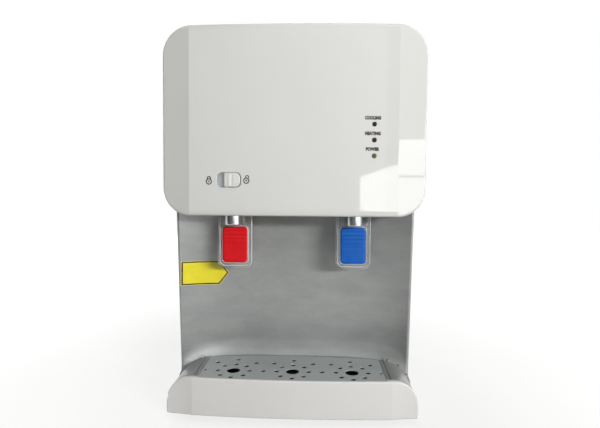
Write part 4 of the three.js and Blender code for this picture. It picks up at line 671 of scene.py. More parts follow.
def bay_panel():
    """The bay panel: its middle behind the tray, its two wings, which roll down over the base's shoulders and
    round back at the sides, and the returns behind them."""
    patches = Patches()
    inner = TRAY_HALF + LIP[-1][0]
    x = np.linspace(-inner, inner, 81)
    rear = rear_edge(x)
    split = rear + 1.2
    lip = [rear + step for step, _ in LIP]
    patches.grid(deck_and_wall(x, np.full_like(x, DECK_Z), wall_line(x), np.stack([*lip, split])))

    shoulder = np.arcsin((WALL["flat"] - ROLL_X) / SHOULDER)
    roll = ROLL_X + SHOULDER * np.sin(np.linspace(0, shoulder, 14))[1:]
    groove_columns = GROOVE_X + np.array([-1.0, -0.75, -0.4, 0, 0.4, 0.75, 1.0])
    flat = np.concatenate([[inner, (inner + GROOVE_X - 1) / 2], groove_columns, [ROLL_X], roll])
    turn = WALL["lip"] * np.sin(np.linspace(0, QUARTER, 8))[1:]
    x = np.concatenate([flat, WALL["flat"] + turn])
    line = wall_line(x)
    line[len(flat) :] += WALL["lip"] - np.sqrt(np.maximum(WALL["lip"] ** 2 - turn**2, 0))
    into = np.maximum(x - ROLL_X, 0)
    level = DECK_Z - SHOULDER + np.sqrt(np.maximum(SHOULDER**2 - into**2, 0))
    level = np.maximum(level, PANEL_LOW[2])
    foot = line - WALL["lean"] * (level - DECK_Z) - COVE[0]
    near = (split[-1] - DECK_FRONT) / (foot[0] - DECK_FRONT)
    reach = DECK_FRONT + (foot - DECK_FRONT) * near
    rows = [np.full_like(x, DECK_FRONT + step) for step, _ in LIP]
    rows += [rows[-1] + (reach - rows[-1]) * share for share in np.linspace(0, 1, 9)[1:]]
    groove = GROOVE_DEPTH * np.clip(1 - (x - GROOVE_X) ** 2, 0, None)
    wing = deck_and_wall(x, level, line, np.stack(rows), groove)
    keep = np.ones((len(wing) - 1, len(x) - 1), bool)
    keep[-2:, len(flat) - 1 :] = False

    side = wing[len(rows) + 1 : -2, -1]
    behind = WALL["edge"] + WALL["returns"] - WALL["lean"] * (side[:, 2] - DECK_Z)
    back = np.stack([side[:, 0], behind, side[:, 2]], -1)
    returns = side[:, None] + (back - side)[:, None] * np.linspace(0, 1, 5)[:, None]
    edge = wing[len(LIP) - 1 : len(rows), 0]
    tray_side = np.stack([edge - [LIP[-1][0] - step, 0, drop] for step, drop in LIP], 1)
    for mirror in (1, -1):
        for patch, kept in ((wing, keep), (returns, None), (tray_side, None)):
            patches.grid(patch * np.array([mirror, 1, 1]), keep=kept, flip=mirror < 0)
    return patches


piece(
    "bay_panel_shell", bay_panel(), "housing", silver_lacquer, "front_bay_panel",
    wall=SKIN, sharp=50,
)


def arc(x, y, radius, start, stop, steps=24):
    """Points of an arc, start to stop in degrees."""
    angle = np.radians(np.linspace(start, stop, steps))
    return np.stack([x + radius * np.cos(angle), y + radius * np.sin(angle)], -1)


def rounded_loop(half, low, high, top, bottom, sides, bends):
    """A closed loop (x, z), counter-clockwise from the front: a rectangle with its own top and bottom corner
    radii. Its number of points never changes, so loops of any size can be joined."""
    arcs = [
        arc(half - bottom, low + bottom, bottom, -90, 0, bends + 1),
        arc(half - top, high - top, top, 0, 90, bends + 1),
        arc(top - half, high - top, top, 90, 180, bends + 1),
        arc(bottom - half, low + bottom, bottom, 180, 270, bends + 1),
    ]
    share = np.linspace(0, 1, sides + 1)[1:-1, None]
    parts = []
    for bend, follow in zip(arcs, arcs[1:] + arcs[:1]):
        parts += [bend, bend[-1] + (follow[0] - bend[-1]) * share]
    return np.concatenate(parts)


def upright(loop, y):
    """A loop (x, z) as points at y."""
    return np.stack([loop[:, 0], np.broadcast_to(y, len(loop)), loop[:, 1]], -1)


def level_at(loop, z):
    """A loop (x, y) as points at height z."""
    return np.concatenate([loop, np.full((len(loop), 1), z)], 1)


def hood():
    """The ceiling of the bay: the lower half of a rounded loop, carried back from the front cover's rim to
    the wall, with a slot open to the front for each tap."""
    half, low, radius = WALL["flat"] + 0.2, COVER["low"] + GAP, 27.0
    slot_half, slot_back, front = 23.0, 50.0, COVER["rim"] + GAP
    into_wall = 0.6
    turn = np.linspace(0, QUARTER, 12)
    patches = Patches()

    def strip(path, start):
        """A strip along a path (x, z), from y start back into the wall."""
        back = wall_y(path[:, 0], path[:, 1]) + into_wall
        y = start + (back - start) * np.linspace(0, 1, 5)[:, None]
        x, z = (np.broadcast_to(path[:, i], y.shape) for i in (0, 1))
        patches.grid(np.stack([x, y, z], -1), flip=True)

    corner = np.stack([half - radius + radius * np.sin(turn), low + radius - radius * np.cos(turn)], -1)
    corner = np.concatenate([[[TAP_X + slot_half, low]], corner, [[half, PANEL_HIGH[2] - 5]]])
    strip(corner, front)
    strip((corner * [-1, 1])[::-1], front)
    flat = stops(-TAP_X + slot_half, 8, TAP_X - slot_half)
    strip(np.stack([flat, np.full_like(flat, low)], -1), front)
    for x in (-TAP_X, TAP_X):
        flat = stops(x - slot_half, 4, x + slot_half)
        strip(np.stack([flat, np.full_like(flat, low)], -1), slot_back)
    return patches


piece("bay_hood", hood(), "housing", silver_lacquer, wall=2.2)


def ring_of(profile, loop_at):
    """A closed profile carried round a loop: rows of loops, one for each (inset, height)."""
    rows = [level_at(loop_at(inset), z) for inset, z in profile]
    return np.stack(rows + rows[:1])


TRAY_LOW, TRAY_HIGH = corners("drip_tray")


def tray_ledge():
    """The ledge under the tray's flange: a flat ring whose outer side turns up to the deck."""
    ledge, deck = TRAY_HIGH[2] - 2.3, DECK_Z - SKIN
    outer, inner = -2.8, 6
    profile = [
        (outer, ledge - SKIN), (outer, deck), (-GAP, deck), (-GAP, ledge), (inner, ledge),
        (inner, ledge - SKIN),
    ]
    return Patches().grid(ring_of(profile, lambda inset: tray_loop(inset, max(inset, 0))), closed=True)


piece("tray_ledge", tray_ledge(), "housing", silver_lacquer)


# ---------------------------------------------------------------- drip tray and grille
def drip_tray():
    """A shallow dish: a flange, a wall with a rounded foot, and a floor that falls to its middle."""
    rim, low = TRAY_HIGH[2], TRAY_LOW[2]
    outer, wall, ease = 6.3, 2.0, 0.3
    inner = outer + wall
    bends = [(1 - math.cos(a), 1 - math.sin(a)) for a in np.linspace(0, QUARTER, 6)]
    outside = [(outer + 3 * across, low + 3 * up) for across, up in bends[::-1]]
    inside = [(inner + 4 * across, low + wall + 4 * up) for up, across in bends[::-1]]
    profile = [
        (40, low), *outside, (outer, rim - wall), (2 * ease, rim - wall), (ease, rim - wall + ease),
        (ease, rim - ease), (2 * ease, rim), (inner - ease, rim), (inner, rim - ease), *inside,
        (34, low + 1.6),
    ]
    return Patches().grid(ring_of(profile, tray_loop), closed=True)


piece("drip_tray_dish", drip_tray(), "tray", black_plastic, "drip_tray")


def as_mesh(curve):
    """A curve or a text as a mesh."""
    item = put(curve.name, curve)
    graph = bpy.context.evaluated_depsgraph_get()
    mesh = bpy.data.meshes.new_from_object(item.evaluated_get(graph))
    bpy.data.objects.remove(item)
    return mesh


def cut_plate(loops, low, high):
    """A flat plate from low to high, as a mesh in millimetres: the first loop (x, y) is its outline and the
    rest are its holes."""
    curve = bpy.data.curves.new("plate", "CURVE")
    curve.dimensions = "2D"
    curve.fill_mode = "BOTH"
    curve.extrude = (high - low) / 2
    for loop in loops:
        spline = curve.splines.new("POLY")
        spline.points.add(len(loop) - 1)
        flat = np.zeros((len(loop), 4))
        flat[:, :2] = loop
        flat[:, 3] = 1
        spline.points.foreach_set("co", flat.ravel())
        spline.use_cyclic_u = True
    mesh = as_mesh(curve)
    mesh.transform(Matrix.Translation((0, 0, (low + high) / 2)))
    return mesh


def placed(name, mesh, body, material, stands_for=None, rounding=0, sharp=35, place=None):
    """Puts a mesh in millimetres in its place and hands it to its body. place, if given, maps its points."""
    points = np.empty(len(mesh.vertices) * 3)
    mesh.vertices.foreach_get("co", points)
    points = points.reshape(-1, 3)
    points = (place(points) if place else points) + FOLD_PLANE
    mesh.vertices.foreach_set("co", (points * MM).ravel())
    edit = bmesh.new()
    edit.from_mesh(mesh)
    bmesh.ops.remove_doubles(edit, verts=edit.verts, dist=WELD * MM)
    bmesh.ops.recalc_face_normals(edit, faces=edit.faces)
    edit.to_mesh(mesh)
    edit.free()
    mesh.name = name
    item = put(name, mesh)
    if rounding:
        soften(item, rounding)
    return hand_over(bake(item), body, material, stands_for, sharp)


def circle(x, y, radius, steps=24):
    """A circle as a loop (x, y)."""
    angle = np.arange(steps) * (2 * math.pi / steps)
    return np.stack([x + radius * np.cos(angle), y + radius * np.sin(angle)], -1)


# y of the grille's row of large holes, the radii of its holes, and the thickness of its plate.
HOLE_ROW, LARGE_HOLE, SMALL_HOLE, PLATE = 24.5, 8.2, 3.2, 1.0


def grille_holes():
    """Three large holes, each ringed by eight small ones with three more behind, and single ones between."""
    centres = (-TAP_X, 0, TAP_X)
    holes = [circle(x, HOLE_ROW, LARGE_HOLE, 64) for x in centres]
    rings = [(19.8, np.arange(0, 360, 45)), (35.5, np.array([45, 90, 135]))]
    around = [(reach, angle) for reach, degrees in rings for angle in np.radians(degrees)]
    for x in centres:
        for reach, angle in around:
            holes.append(circle(x + reach * math.cos(angle), HOLE_ROW + reach * math.sin(angle), SMALL_HOLE))
    return holes + [circle(TAP_X * x, HOLE_ROW, SMALL_HOLE) for x in (-1.5, -0.5, 0.5, 1.5)]


grille = cut_plate([tray_loop(0), *grille_holes()], GRILLE_HIGH[2] - PLATE, GRILLE_HIGH[2])
placed("drip_grille_plate", grille, "tray", grille_grey, "drip_grille", rounding=0.2, sharp=20)
skirt = cut_plate([tray_loop(0), tray_loop(2)], GRILLE_LOW[2], GRILLE_HIGH[2] - PLATE)
placed("drip_grille_skirt", skirt, "tray", grille_grey)


# ---------------------------------------------------------------- taps and paddles
TAP_Y, TAP_Z = 19.0, 272.0
BOSS_Y = float(wall_y(TAP_X, TAP_Z)) - 3.25


def fillet(marks, radius, steps=4):
    """A profile of (radius, height) marks with each corner between its ends rounded by a quadratic curve."""
    points = np.array(marks, float)
    out = [points[:1]]
    for before, at, after in zip(points, points[1:], points[2:]):
        lengths = [np.linalg.norm(before - at), np.linalg.norm(after - at)]
        cut = min(radius, lengths[0] / 2.2, lengths[1] / 2.2)
        start, stop = at + (before - at) / lengths[0] * cut, at + (after - at) / lengths[1] * cut
        t = np.linspace(0, 1, steps + 1)[:, None]
        out.append((1 - t) ** 2 * start + 2 * t * (1 - t) * at + t**2 * stop)
    return np.concatenate(out + [points[-1:]])


def block(patches, low, high, rounding):
    """A box with rounded edges: a loop with round corners, drawn in at top and bottom by a quarter circle."""
    low, high = np.array(low, float), np.array(high, float)
    middle, half = (low + high) / 2, (high - low) / 2
    rounding = min(rounding, *(half * 0.98))
    turn = np.linspace(0, QUARTER, 5)
    near, far = rounding * (1 - np.sin(turn)), rounding * (1 - np.cos(turn))
    inset = np.concatenate([near, far])
    height = np.concatenate([far - half[2], half[2] - near])
    inner = half[:2] - rounding
    signs = [(1, -1), (1, 1), (-1, 1), (-1, -1)]
    loops = []
    for draw, z in zip(inset, height):
        starts = zip(inner * signs, (-90, 0, 90, 180))
        bends = [arc(x, y, rounding - draw, start, start + 90, len(turn)) for (x, y), start in starts]
        loops.append(level_at(np.concatenate(bends), z))
    caps = [np.repeat(np.array([[[0, 0, z]]], float), len(loops[0]), 1) for z in (-half[2], half[2])]
    points = np.concatenate([caps[0], np.stack(loops), caps[1]])
    return patches.grid(points + middle, closed=True)


def tap_body(x):
    """A chromed tap: a spout with its bore, an arm back to a collar on the boss, the shank behind it, and the
    lug that carries the paddle's pin."""
    patches = Patches()
    tip, head = TAP_Z - 36.5, TAP_Z + 13
    spout = fillet(
        [(0, TAP_Z - 14), (4.2, TAP_Z - 14), (6, TAP_Z - 15), (6, tip + 0.6), (6.5, tip), (9.2, tip),
         (10, tip + 0.9), (10, head - 1), (9, head), (0, head)], 0.9,
    )
    patches.lathe(spout, (x, TAP_Y, 0), steps=64)
    collar = BOSS_Y - 3.3
    arm = fillet(
        [(0, TAP_Y), (10, TAP_Y), (10, collar - 1.5), (11, collar), (12.4, collar), (13, collar + 0.6),
         (13, collar + 2.6), (12.6, collar + 3), (7.7, collar + 3), (7.7, BOSS_Y + 21),
         (0, BOSS_Y + 21)], 0.8,
    )
    patches.lathe(arm, (x, 0, TAP_Z), axis="y", steps=64)
    return block(patches, (x - 9, 34, TAP_Z), (x + 9, 46, TAP_Z + 24), 2.0)


# y of the front and the back of the paddles' plates, how far their pins lie behind the spouts, how far their
# cheeks stand from their middles, and half a cheek's thickness.
PADDLE_Y = (31.0, 36.0)
PIN_BACK = 21
CHEEK_X, CHEEK_HALF = 12.5, 1.5


def paddle(x, node, insert):
    """A clear push paddle: a plate with a rounded rim, a shallow channel round its window, and a lip that
    holds the insert; above it two cheeks reach up to the pin, and a bridge joins them over the valve."""
    low, high = corners(node)
    half = (high[0] - low[0]) / 2
    inner_low, inner_high = corners(insert)
    top = TAP_Z - 16
    front, back = PADDLE_Y

    def outline(inset):
        """The plate's outline, drawn in."""
        upper, lower = 2.5 - min(inset, 2), 9 - inset * 0.9
        return rounded_loop(half - inset, low[2] + inset, top - inset, upper, lower, sides=10, bends=10)

    def window(outset):
        """The window round the insert, drawn out."""
        room = 0.15 + outset
        width = (inner_high[0] - inner_low[0]) / 2 + room
        corner = 4 + outset
        foot, head = inner_low[2] - room, inner_high[2] + room
        return rounded_loop(width, foot, head, corner, corner, sides=10, bends=10)

    bead, channel = 1.5, front + 1.2
    turn = np.linspace(0, 2 * QUARTER, 9)
    rows = [
        (outline(0.0), channel), (outline(0.0), back - 0.9), (outline(0.3), back - 0.25),
        (outline(1.0), back), (window(0.4), back), (window(0.0), back - 0.4), (window(0.0), front + 0.5),
        (window(0.35), front + 0.1), (window(0.8), front), (window(1.2), front + 0.15),
        (window(1.5), channel),
        *((outline(bead * (1 + math.cos(a))), channel - (channel - front) * math.sin(a)) for a in turn),
    ]
    shape = np.stack([upright(loop, y) for loop, y in rows])
    patches = Patches().grid(shape + [x, 0, 0], closed=True, flip=True)
    cheek_back, bridge_top = TAP_Y + PIN_BACK + 6, high[2]
    cheek = np.array(
        [
            (front, top - 10), (back, top - 10), (cheek_back, top + 15), (cheek_back, bridge_top),
            (front, bridge_top),
        ]
    )
    middle = cheek.mean(0)
    for centre in (x - CHEEK_X, x + CHEEK_X):
        rings = []
        for size, across in ((0, -CHEEK_HALF), (1, -CHEEK_HALF), (1, CHEEK_HALF), (0, CHEEK_HALF)):
            at = np.full(len(cheek), centre + across)
            rings.append(np.column_stack([at, middle + (cheek - middle) * size]))
        patches.grid(np.stack(rings), closed=True)
    reach = CHEEK_X + CHEEK_HALF
    return block(patches, (x - reach, TAP_Y - 6, bridge_top - 3), (x + reach, cheek_back, bridge_top), 0.8)


def insert_pad(node):
    """A coloured pad: a crowned face inside a rounded border, with broad ridges across its upper part and
    fine ribs across its lower part, both cosines of the height."""
    low, high = corners(node)
    half, middle, tall = (high[0] - low[0]) / 2, (low[0] + high[0]) / 2, high[2] - low[2]
    edge, corner, ledge = 1.6, 5.2, 3.0
    columns = np.linspace(-1, 1, 41)
    rows = np.linspace(0, 1, 120)
    share = rows[:, None]
    z = low[2] + tall * rows
    to_side = (1 - np.abs(columns)) * half
    to_end = np.minimum(rows, 1 - rows) * tall
    border = 1 - np.clip(1 - to_side / edge, 0, 1) ** 2
    ends = 1 - np.clip(1 - to_end / edge, 0, 1) ** 2
    width = half - corner + np.sqrt(np.maximum(corner**2 - np.maximum(corner - to_end, 0) ** 2, 0.3))

    def waves(pitch):
        """Rounded waves up the pad, pitch millimetres apart."""
        return (0.5 - 0.5 * np.cos((z - low[2]) * 2 * math.pi / pitch))[:, None]

    ribs = 0.14 * waves(2.1) * np.clip((0.6 - share) * 30, 0, 1)
    ridges = 0.24 * waves(5.2) * np.clip((share - 0.62) * 30, 0, 1)
    inside = np.clip(to_side / ledge, 0, 1) * np.clip(np.minimum(share, 1 - share) * 15, 0, 1)
    skirt = np.sqrt(border) * np.sqrt(ends)[:, None]
    crown = 0.2 + 0.25 * (1 - columns**2)
    y = np.maximum(low[1] + 1.2 - 0.75 * skirt + inside * (ribs + ridges - crown), low[1])
    face = np.stack([middle + columns * width[:, None], y, np.broadcast_to(z[:, None], y.shape)], -1)
    loop = rim_of(face)
    rear = loop.copy()
    rear[:, 1] = high[1]
    closing = np.repeat(np.array([[[middle, high[1], z.mean()]]]), len(loop), 1)
    patches = Patches().grid(face)
    return patches.grid(np.concatenate([loop[None], rear[None], closing]), closed=True, flip=True)


def boss(x):
    """The raised pad on the bay panel that a tap's collar bears on."""
    rim = fillet([(0, BOSS_Y), (15.2, BOSS_Y), (16, BOSS_Y + 0.8), (16, BOSS_Y + 9), (0, BOSS_Y + 9)], 0.6)
    return Patches().lathe(rim, (x, 0, TAP_Z), axis="y", steps=48)


for side, x, colour, material in (
    ("hot", -TAP_X, "red_plastic", red_plastic), ("cold", TAP_X, "blue_plastic", blue_plastic),
):
    node, insert, rider = f"{side}_tap_paddle", f"{side}_tap_insert", f"{side}_paddle"
    piece(f"{side}_tap_chrome", tap_body(x), "housing", chrome, f"{side}_tap_body")
    piece(
        f"{side}_paddle_clear", paddle(x, node, insert), rider, clear_acrylic, node,
        rounding=0.15,
    )
    piece(f"{side}_insert_pad", insert_pad(insert), rider, material, insert, sharp=60)

for side, x in (("hot", -TAP_X), ("cold", TAP_X)):
    piece(f"{side}_tap_boss", boss(x), "housing", silver_lacquer)


# ---------------------------------------------------------------- marker, lock, lamps and words
# The marker: x of its left edge, its shoulders and its tip, z of its middle, half its height, and its tilt.
MARKER = {
    "left": -146.4, "shoulder": -100.4, "tip": -88.4, "middle": 168.8, "half": 16.2,
    "tilt": math.radians(-1.8),
}


def arrow(inset):
    """The marker's outline as a loop (x, z), drawn in: a rectangle with a point on its right."""
    length, half = MARKER["tip"] - MARKER["shoulder"], MARKER["half"]
    slope = length / half
    shift = inset * math.sqrt(1 + slope**2)
    low, high = MARKER["middle"] - half + inset, MARKER["middle"] + half - inset
    shoulder = MARKER["shoulder"] + slope * inset - shift
    marks = np.array(
        [
            (MARKER["left"] + inset, low), (shoulder, low), (MARKER["tip"] - shift, MARKER["middle"]),
            (shoulder, high), (MARKER["left"] + inset, high),
        ]
    )
    follow = np.roll(marks, -1, 0)
    share = np.linspace(0, 1, 12, endpoint=False)[:, None]
    loop = np.concatenate([a + (b - a) * share for a, b in zip(marks, follow)])
    centre = np.array([(MARKER["left"] + MARKER["tip"]) / 2, MARKER["middle"]])
    c, s = math.cos(MARKER["tilt"]), math.sin(MARKER["tilt"])
    return centre + (loop - centre) @ np.array([[c, s], [-s, c]])


def on_wall(loop, clear):
    """A loop (x, z) laid against the bay's wall, this far before it."""
    return np.stack([loop[:, 0], wall_y(loop[:, 0], loop[:, 1]) - clear, loop[:, 1]], -1)


def marker():
    """The marker: loops drawn in from its outline to its middle line, on the curve of the wall."""
    rear = [on_wall(arrow(inset), 0.32) for inset in (MARKER["half"], 8.0, 0.0)]
    face = [on_wall(arrow(inset), 0.62) for inset in (0.0, 1.0, 3.0, 6.0, 10.0, MARKER["half"])]
    return Patches().grid(np.stack(rear + face), closed=True)


def marker_line():
    """The dark line inside the marker's edge: a thin band between two insets."""
    outer, inner, under, top = 0.7, 2.3, 0.6, 0.68
    band = [(inner, under), (inner, top), (outer, top), (outer, under), (inner, under)]
    return Patches().grid(np.stack([on_wall(arrow(inset), clear) for inset, clear in band]), closed=True)


piece("hot_marker_film", marker(), "housing", yellow_film, "hot_marker")
piece("hot_marker_line", marker_line(), "housing", ink)


def on_cover(x, z, lift):
    """A point on the front cover's face, lifted off it."""
    return np.stack([x, front_surface(COVER, x) - lift, z], -1)


# The knob: half its width, its middle, and how far it stands proud of the cover.
KNOB_HALF = 9.6
KNOB_X = LOCK_X + SLOT[0] - 1.0 - KNOB_HALF
KNOB_PROUD = 1.6


def lock_knob():
    """The lock's knob: a slab that stands proud of the slot, with two low ridges across it, each a bell
    curve, and a rounded edge, square towards the slot's free end before the cover and round in the slot."""
    height = SLOT[1] - 0.45
    front = float(front_surface(COVER, LOCK_X)) - KNOB_PROUD
    slot_depth, face_inset = 1.4, 1.9
    edge = [(0.0, 5.0), (0.0, 1.45), (0.0, 1.35), (0.1, 0.85), (0.35, 0.42), (0.75, 0.14), (1.25, 0.02)]
    face = [(inset, 0.0) for inset in (face_inset, 2.6, 3.4, 4.3, 5.3, 6.4, 7.5, 8.4)]
    rings = []
    for inset, back in edge + face:
        low, high = LOCK_Z - height + inset, LOCK_Z + height - inset
        square, round_end = (
            rounded_loop(KNOB_HALF - inset, low, high, radius, radius, sides=24, bends=8)
            for radius in (max(1.4 - inset, 0.2), max(6.2 - inset, 0.2))
        )
        loop = np.where(square[:, :1] < 0, square, round_end) if back < slot_depth else round_end
        ridges = sum(rise * np.exp(-((loop[:, 0] - x) ** 2) / 3.0) for x, rise in ((-3.2, 0.6), (2.4, 0.42)))
        y = front + back - ridges * np.clip(inset / face_inset, 0, 1)
        rings.append(upright(loop, y) + [KNOB_X, 0, 0])
    centre = rings[-1].mean(0)
    return Patches().grid(np.stack(rings + [np.repeat(centre[None], len(rings[-1]), 0)]), closed=True)


def lock_plate():
    """The plate behind the slot that carries the knob, with the tongue that stops the hot tap's bridge."""
    low, high = corners("child_lock_slider")
    reach = SLOT[1] + 3.4
    tongue_x, tongue_z = -TAP_X + 14.6, (298.5, 301.5)
    patches = block(Patches(), (low[0], 2.6, LOCK_Z - reach), (high[0], 4.6, LOCK_Z + reach), 0.3)
    return block(patches, (tongue_x, 2.8, tongue_z[0]), (tongue_x + 7, high[1], tongue_z[1]), 0.4)


piece("child_lock_knob", lock_knob(), "child_lock", gloss_white, "child_lock_slider", sharp=40)
# The plate takes the grille's grey: a darker plate under the knob that paints the shade in the slot's recess.
piece("child_lock_plate", lock_plate(), "child_lock", grille_grey, sharp=40)


def lamp(name):
    """A lamp: a domed lens, its body through the cover, and the flange behind it."""
    low, high = corners(name)
    front, middle = low[1], (low[2] + high[2]) / 2
    radius, flange, rise = 2.6, 3.8, 0.9
    turn = np.linspace(0, QUARTER, 9)
    dome = [(radius * math.sin(a), front + rise * (1 - math.cos(a))) for a in turn]
    profile = [
        *dome, (radius, front + 3.6), (flange, front + 3.7), (flange, front + 4.6), (radius, front + 4.7),
        (radius, high[1]), (0, high[1]),
    ]
    return Patches().lathe(profile, (LAMP_X, 0, middle), axis="y", steps=40)


for name, slot, material in (
    ("cooling", "lamp_green", green_lens),
    ("heating", "lamp_red", red_lens),
    ("power", "lamp_yellow", yellow_lens),
):
    piece(f"{name}_lamp_lens", lamp(f"{name}_lamp"), "housing", material, f"{name}_lamp", sharp=50)


def printed(name, mesh, x, z, width=None):
    """A flat mesh (x, y) in millimetres as ink on the cover, centred at (x, z) and stretched to width."""
    ink_low, ink_thickness = 0.012, 0.014

    def place(points):
        """Lays the points on the cover."""
        low, high = points.min(0), points.max(0)
        flat = points - (low + high) / 2
        if width:
            flat[:, 0] *= width / (high[0] - low[0])
        lift = ink_low + np.where(flat[:, 2] > 0, ink_thickness, 0)
        return on_cover(flat[:, 0] + x, flat[:, 1] + z, lift)

    return placed(name, mesh, "housing", ink, place=place)


def word(letters, height):
    """Bold letters as a thin flat mesh, height millimetres high."""
    capital, boldness = 0.69, 0.12
    curve = bpy.data.curves.new("word", "FONT")
    curve.body = letters
    curve.size = height / capital
    curve.space_character = 1.08
    curve.offset = height * boldness
    curve.extrude = 0.01
    curve.resolution_u = 3
    return as_mesh(curve)


for letters, z, width in (("COOLING", 361.2, 18.6), ("HEATING", 343.5, 18.0), ("POWER", 325.6, 15.6)):
    printed(f"word_{letters.lower()}", word(letters, 3.5), LAMP_X - 1.9, z, width)


def padlock(opened):
    """A padlock in lines: a round body with a bar and a stem inside it, and a shackle on top, swung aside if
    open. Each part is a list of loops."""
    body = [circle(0, 0, 3.65, 48), circle(0, 0, 2.4, 48)]
    half, stem, top, foot = 1.4, 0.45, 0.9, -1.3
    bar = [(-half, 0), (-stem, 0), (-stem, foot), (stem, foot), (stem, 0), (half, 0)]
    bar += [(half, top), (-half, top)]
    x, y, outer, inner, start = (1.0, 4.0, 2.4, 1.3, -30) if opened else (0, 3.8, 2.5, 1.25, -20)
    stop = start + 220
    shackle = np.concatenate([arc(x, y, outer, start, stop), arc(x, y, inner, stop, start)])
    return [body, [np.array(bar, float)], [shackle]]


for name, x, z, opened in (("closed", -97.8, 287.4, False), ("open", -53.8, 288.6, True)):
    for part, loops in zip(("body", "bar", "shackle"), padlock(opened)):
        mesh = cut_plate(loops, -0.01, 0.01)
        rise = (loops[0].max(0) + loops[0].min(0)) / 2
        printed(f"padlock_{name}_{part}", mesh, x + rise[0], z + rise[1])


# ---------------------------------------------------------------- top cover and bottle seat
WELL_Y = 172.0
TOP_LOW, TOP_HIGH = corners("top_cover")
TOP_RADIUS = 30.0
WELL_RADIUS = 112.0
SEAT_LOW, SEAT_HIGH = corners("bottle_seat")
NECK_RADIUS = (SEAT_HIGH[0] - SEAT_LOW[0]) / 2 + GAP
LEDGE_WIDTH = 8


def top_cover():
    """The top cover: sides that rise and round over into a flat top, front and rear edges turned down, and a
    well: a rounded mouth, a short straight wall, a cone, a neck, and the ledge that the seat rests on."""
    patches = Patches()
    half, low, high = TOP_HIGH[0], corners("left_side_panel")[1][2] + GAP, TOP_HIGH[2]
    front, back = TOP_LOW[1], TOP_HIGH[1]
    edge, front_lip = 1.5, 4.5
    mouth = WELL_RADIUS + 3.0
    ledge_top, throat = TOP_LOW[2] + LEDGE_WIDTH, NECK_RADIUS - LEDGE_WIDTH
    flat_half = half - TOP_RADIUS

    # The flat top, as rings from the rectangle where its rounding starts in to the mouth, and the well.
    across = np.linspace(-1, 1, 25) * flat_half
    along = np.linspace(front + edge - WELL_Y, back - edge - WELL_Y, 25)
    frame_loop = rim_of(np.stack(np.meshgrid(across, along), -1))
    away = frame_loop / np.linalg.norm(frame_loop, axis=1, keepdims=True)
    profile = fillet(
        [(mouth, high), (WELL_RADIUS, high), (WELL_RADIUS, high - 8), (NECK_RADIUS, ledge_top),
         (throat, ledge_top), (throat, TOP_LOW[2])], 2.0, 5,
    )
    well = [level_at(frame_loop + (away * mouth - frame_loop) * share, high) for share in (0, 0.5, 1)]
    well += [level_at(away * radius, height) for radius, height in profile[1:]]
    patches.grid(np.stack(well) + [0, WELL_Y, 0], closed=True)

    # The rounded sides, and the front and rear edges: columns go over the arch, rows from front to back.
    turn = np.linspace(0, QUARTER, 15)
    rise = np.stack([np.cos(turn), np.sin(turn)], -1)
    side = [[half, low], [half, (low + high - TOP_RADIUS) / 2]]
    arch = np.concatenate([side, [flat_half, high - TOP_RADIUS] + TOP_RADIUS * rise])
    into = np.concatenate([[[-1, 0], [-1, 0]], -rise])
    ease = [(edge * (1 - math.sin(a)), edge * (1 - math.cos(a))) for a in np.linspace(0, QUARTER, 6)]
    rows = [(front, front_lip)] + [(front + step, drop) for step, drop in ease[::-1]]
    rows += [(y + WELL_Y, 0.0) for y in along[1:-1]]
    rows += [(back - step, drop) for step, drop in ease]
    shape = np.stack([upright(arch + into * drop, y) for y, drop in rows])
    patches.grid(shape)
    patches.grid(shape * [-1, 1, 1], flip=True)
    for rows_at in (rows[:7], rows[-6:]):
        flat = [upright(np.stack([across, np.full(25, high - drop)], -1), y) for y, drop in rows_at]
        patches.grid(np.stack(flat))

    # The rear wall hangs from the arch's rear edge.
    edge_line = np.concatenate([shape[-1, 2:-1] * [-1, 1, 1], flat[-1], shape[-1, -2:1:-1]])
    wall = np.stack([edge_line] * 3)
    wall[:, :, 2] += (low - edge_line[:, 2]) * np.array([0, 0.5, 1])[:, None]
    return patches.grid(wall)


piece("top_cover_shell", top_cover(), "housing", gloss_white, "top_cover", wall=SKIN, sharp=40)


def bottle_seat():
    """The lift-out seat: a flange, a cup with rounded corners, and a hollow spike with a domed tip."""
    low, top, flange = SEAT_LOW[2], SEAT_HIGH[2], SEAT_HIGH[0]
    wall, hollow, spike, tip = 2.5, 10, 13, 7.5
    flange_top = top - 30
    cup = NECK_RADIUS - LEDGE_WIDTH - GAP
    profile = fillet(
        [
            (hollow, low), (cup, low), (cup, flange_top - wall), (flange, flange_top - wall),
            (flange, flange_top), (cup - wall, flange_top), (cup - wall, low + wall), (spike, low + wall),
            (spike, top - 6.5), (tip, top), (0, top),
        ], 1.2,
    )
    bore = fillet([(0, top - 12.5), (hollow, top - 15), (hollow, low)], 1.0, 3)
    return Patches().lathe(np.concatenate([bore, profile[1:]]), (0, WELL_Y, 0), steps=96)


piece("bottle_seat_cup", bottle_seat(), "seat", silicone, "bottle_seat", sharp=50)


def refine(node, material, rounding):
    """A copy of a CAD node with its triangles joined and its edges rounded."""
    source = frame["nodes"][node]
    mesh = source.data.copy()
    edit = bmesh.new()
    edit.from_mesh(mesh)
    bmesh.ops.remove_doubles(edit, verts=edit.verts, dist=0.002 * MM)
    bmesh.ops.dissolve_limit(edit, angle_limit=math.radians(0.5), verts=edit.verts, edges=edit.edges)
    edit.to_mesh(mesh)
    edit.free()
    mesh.name = f"{node}_rounded"
    item = put(mesh.name, mesh)
    soften(item, rounding)
    hand_over(bake(item), source["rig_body"], material, node, sharp=20)


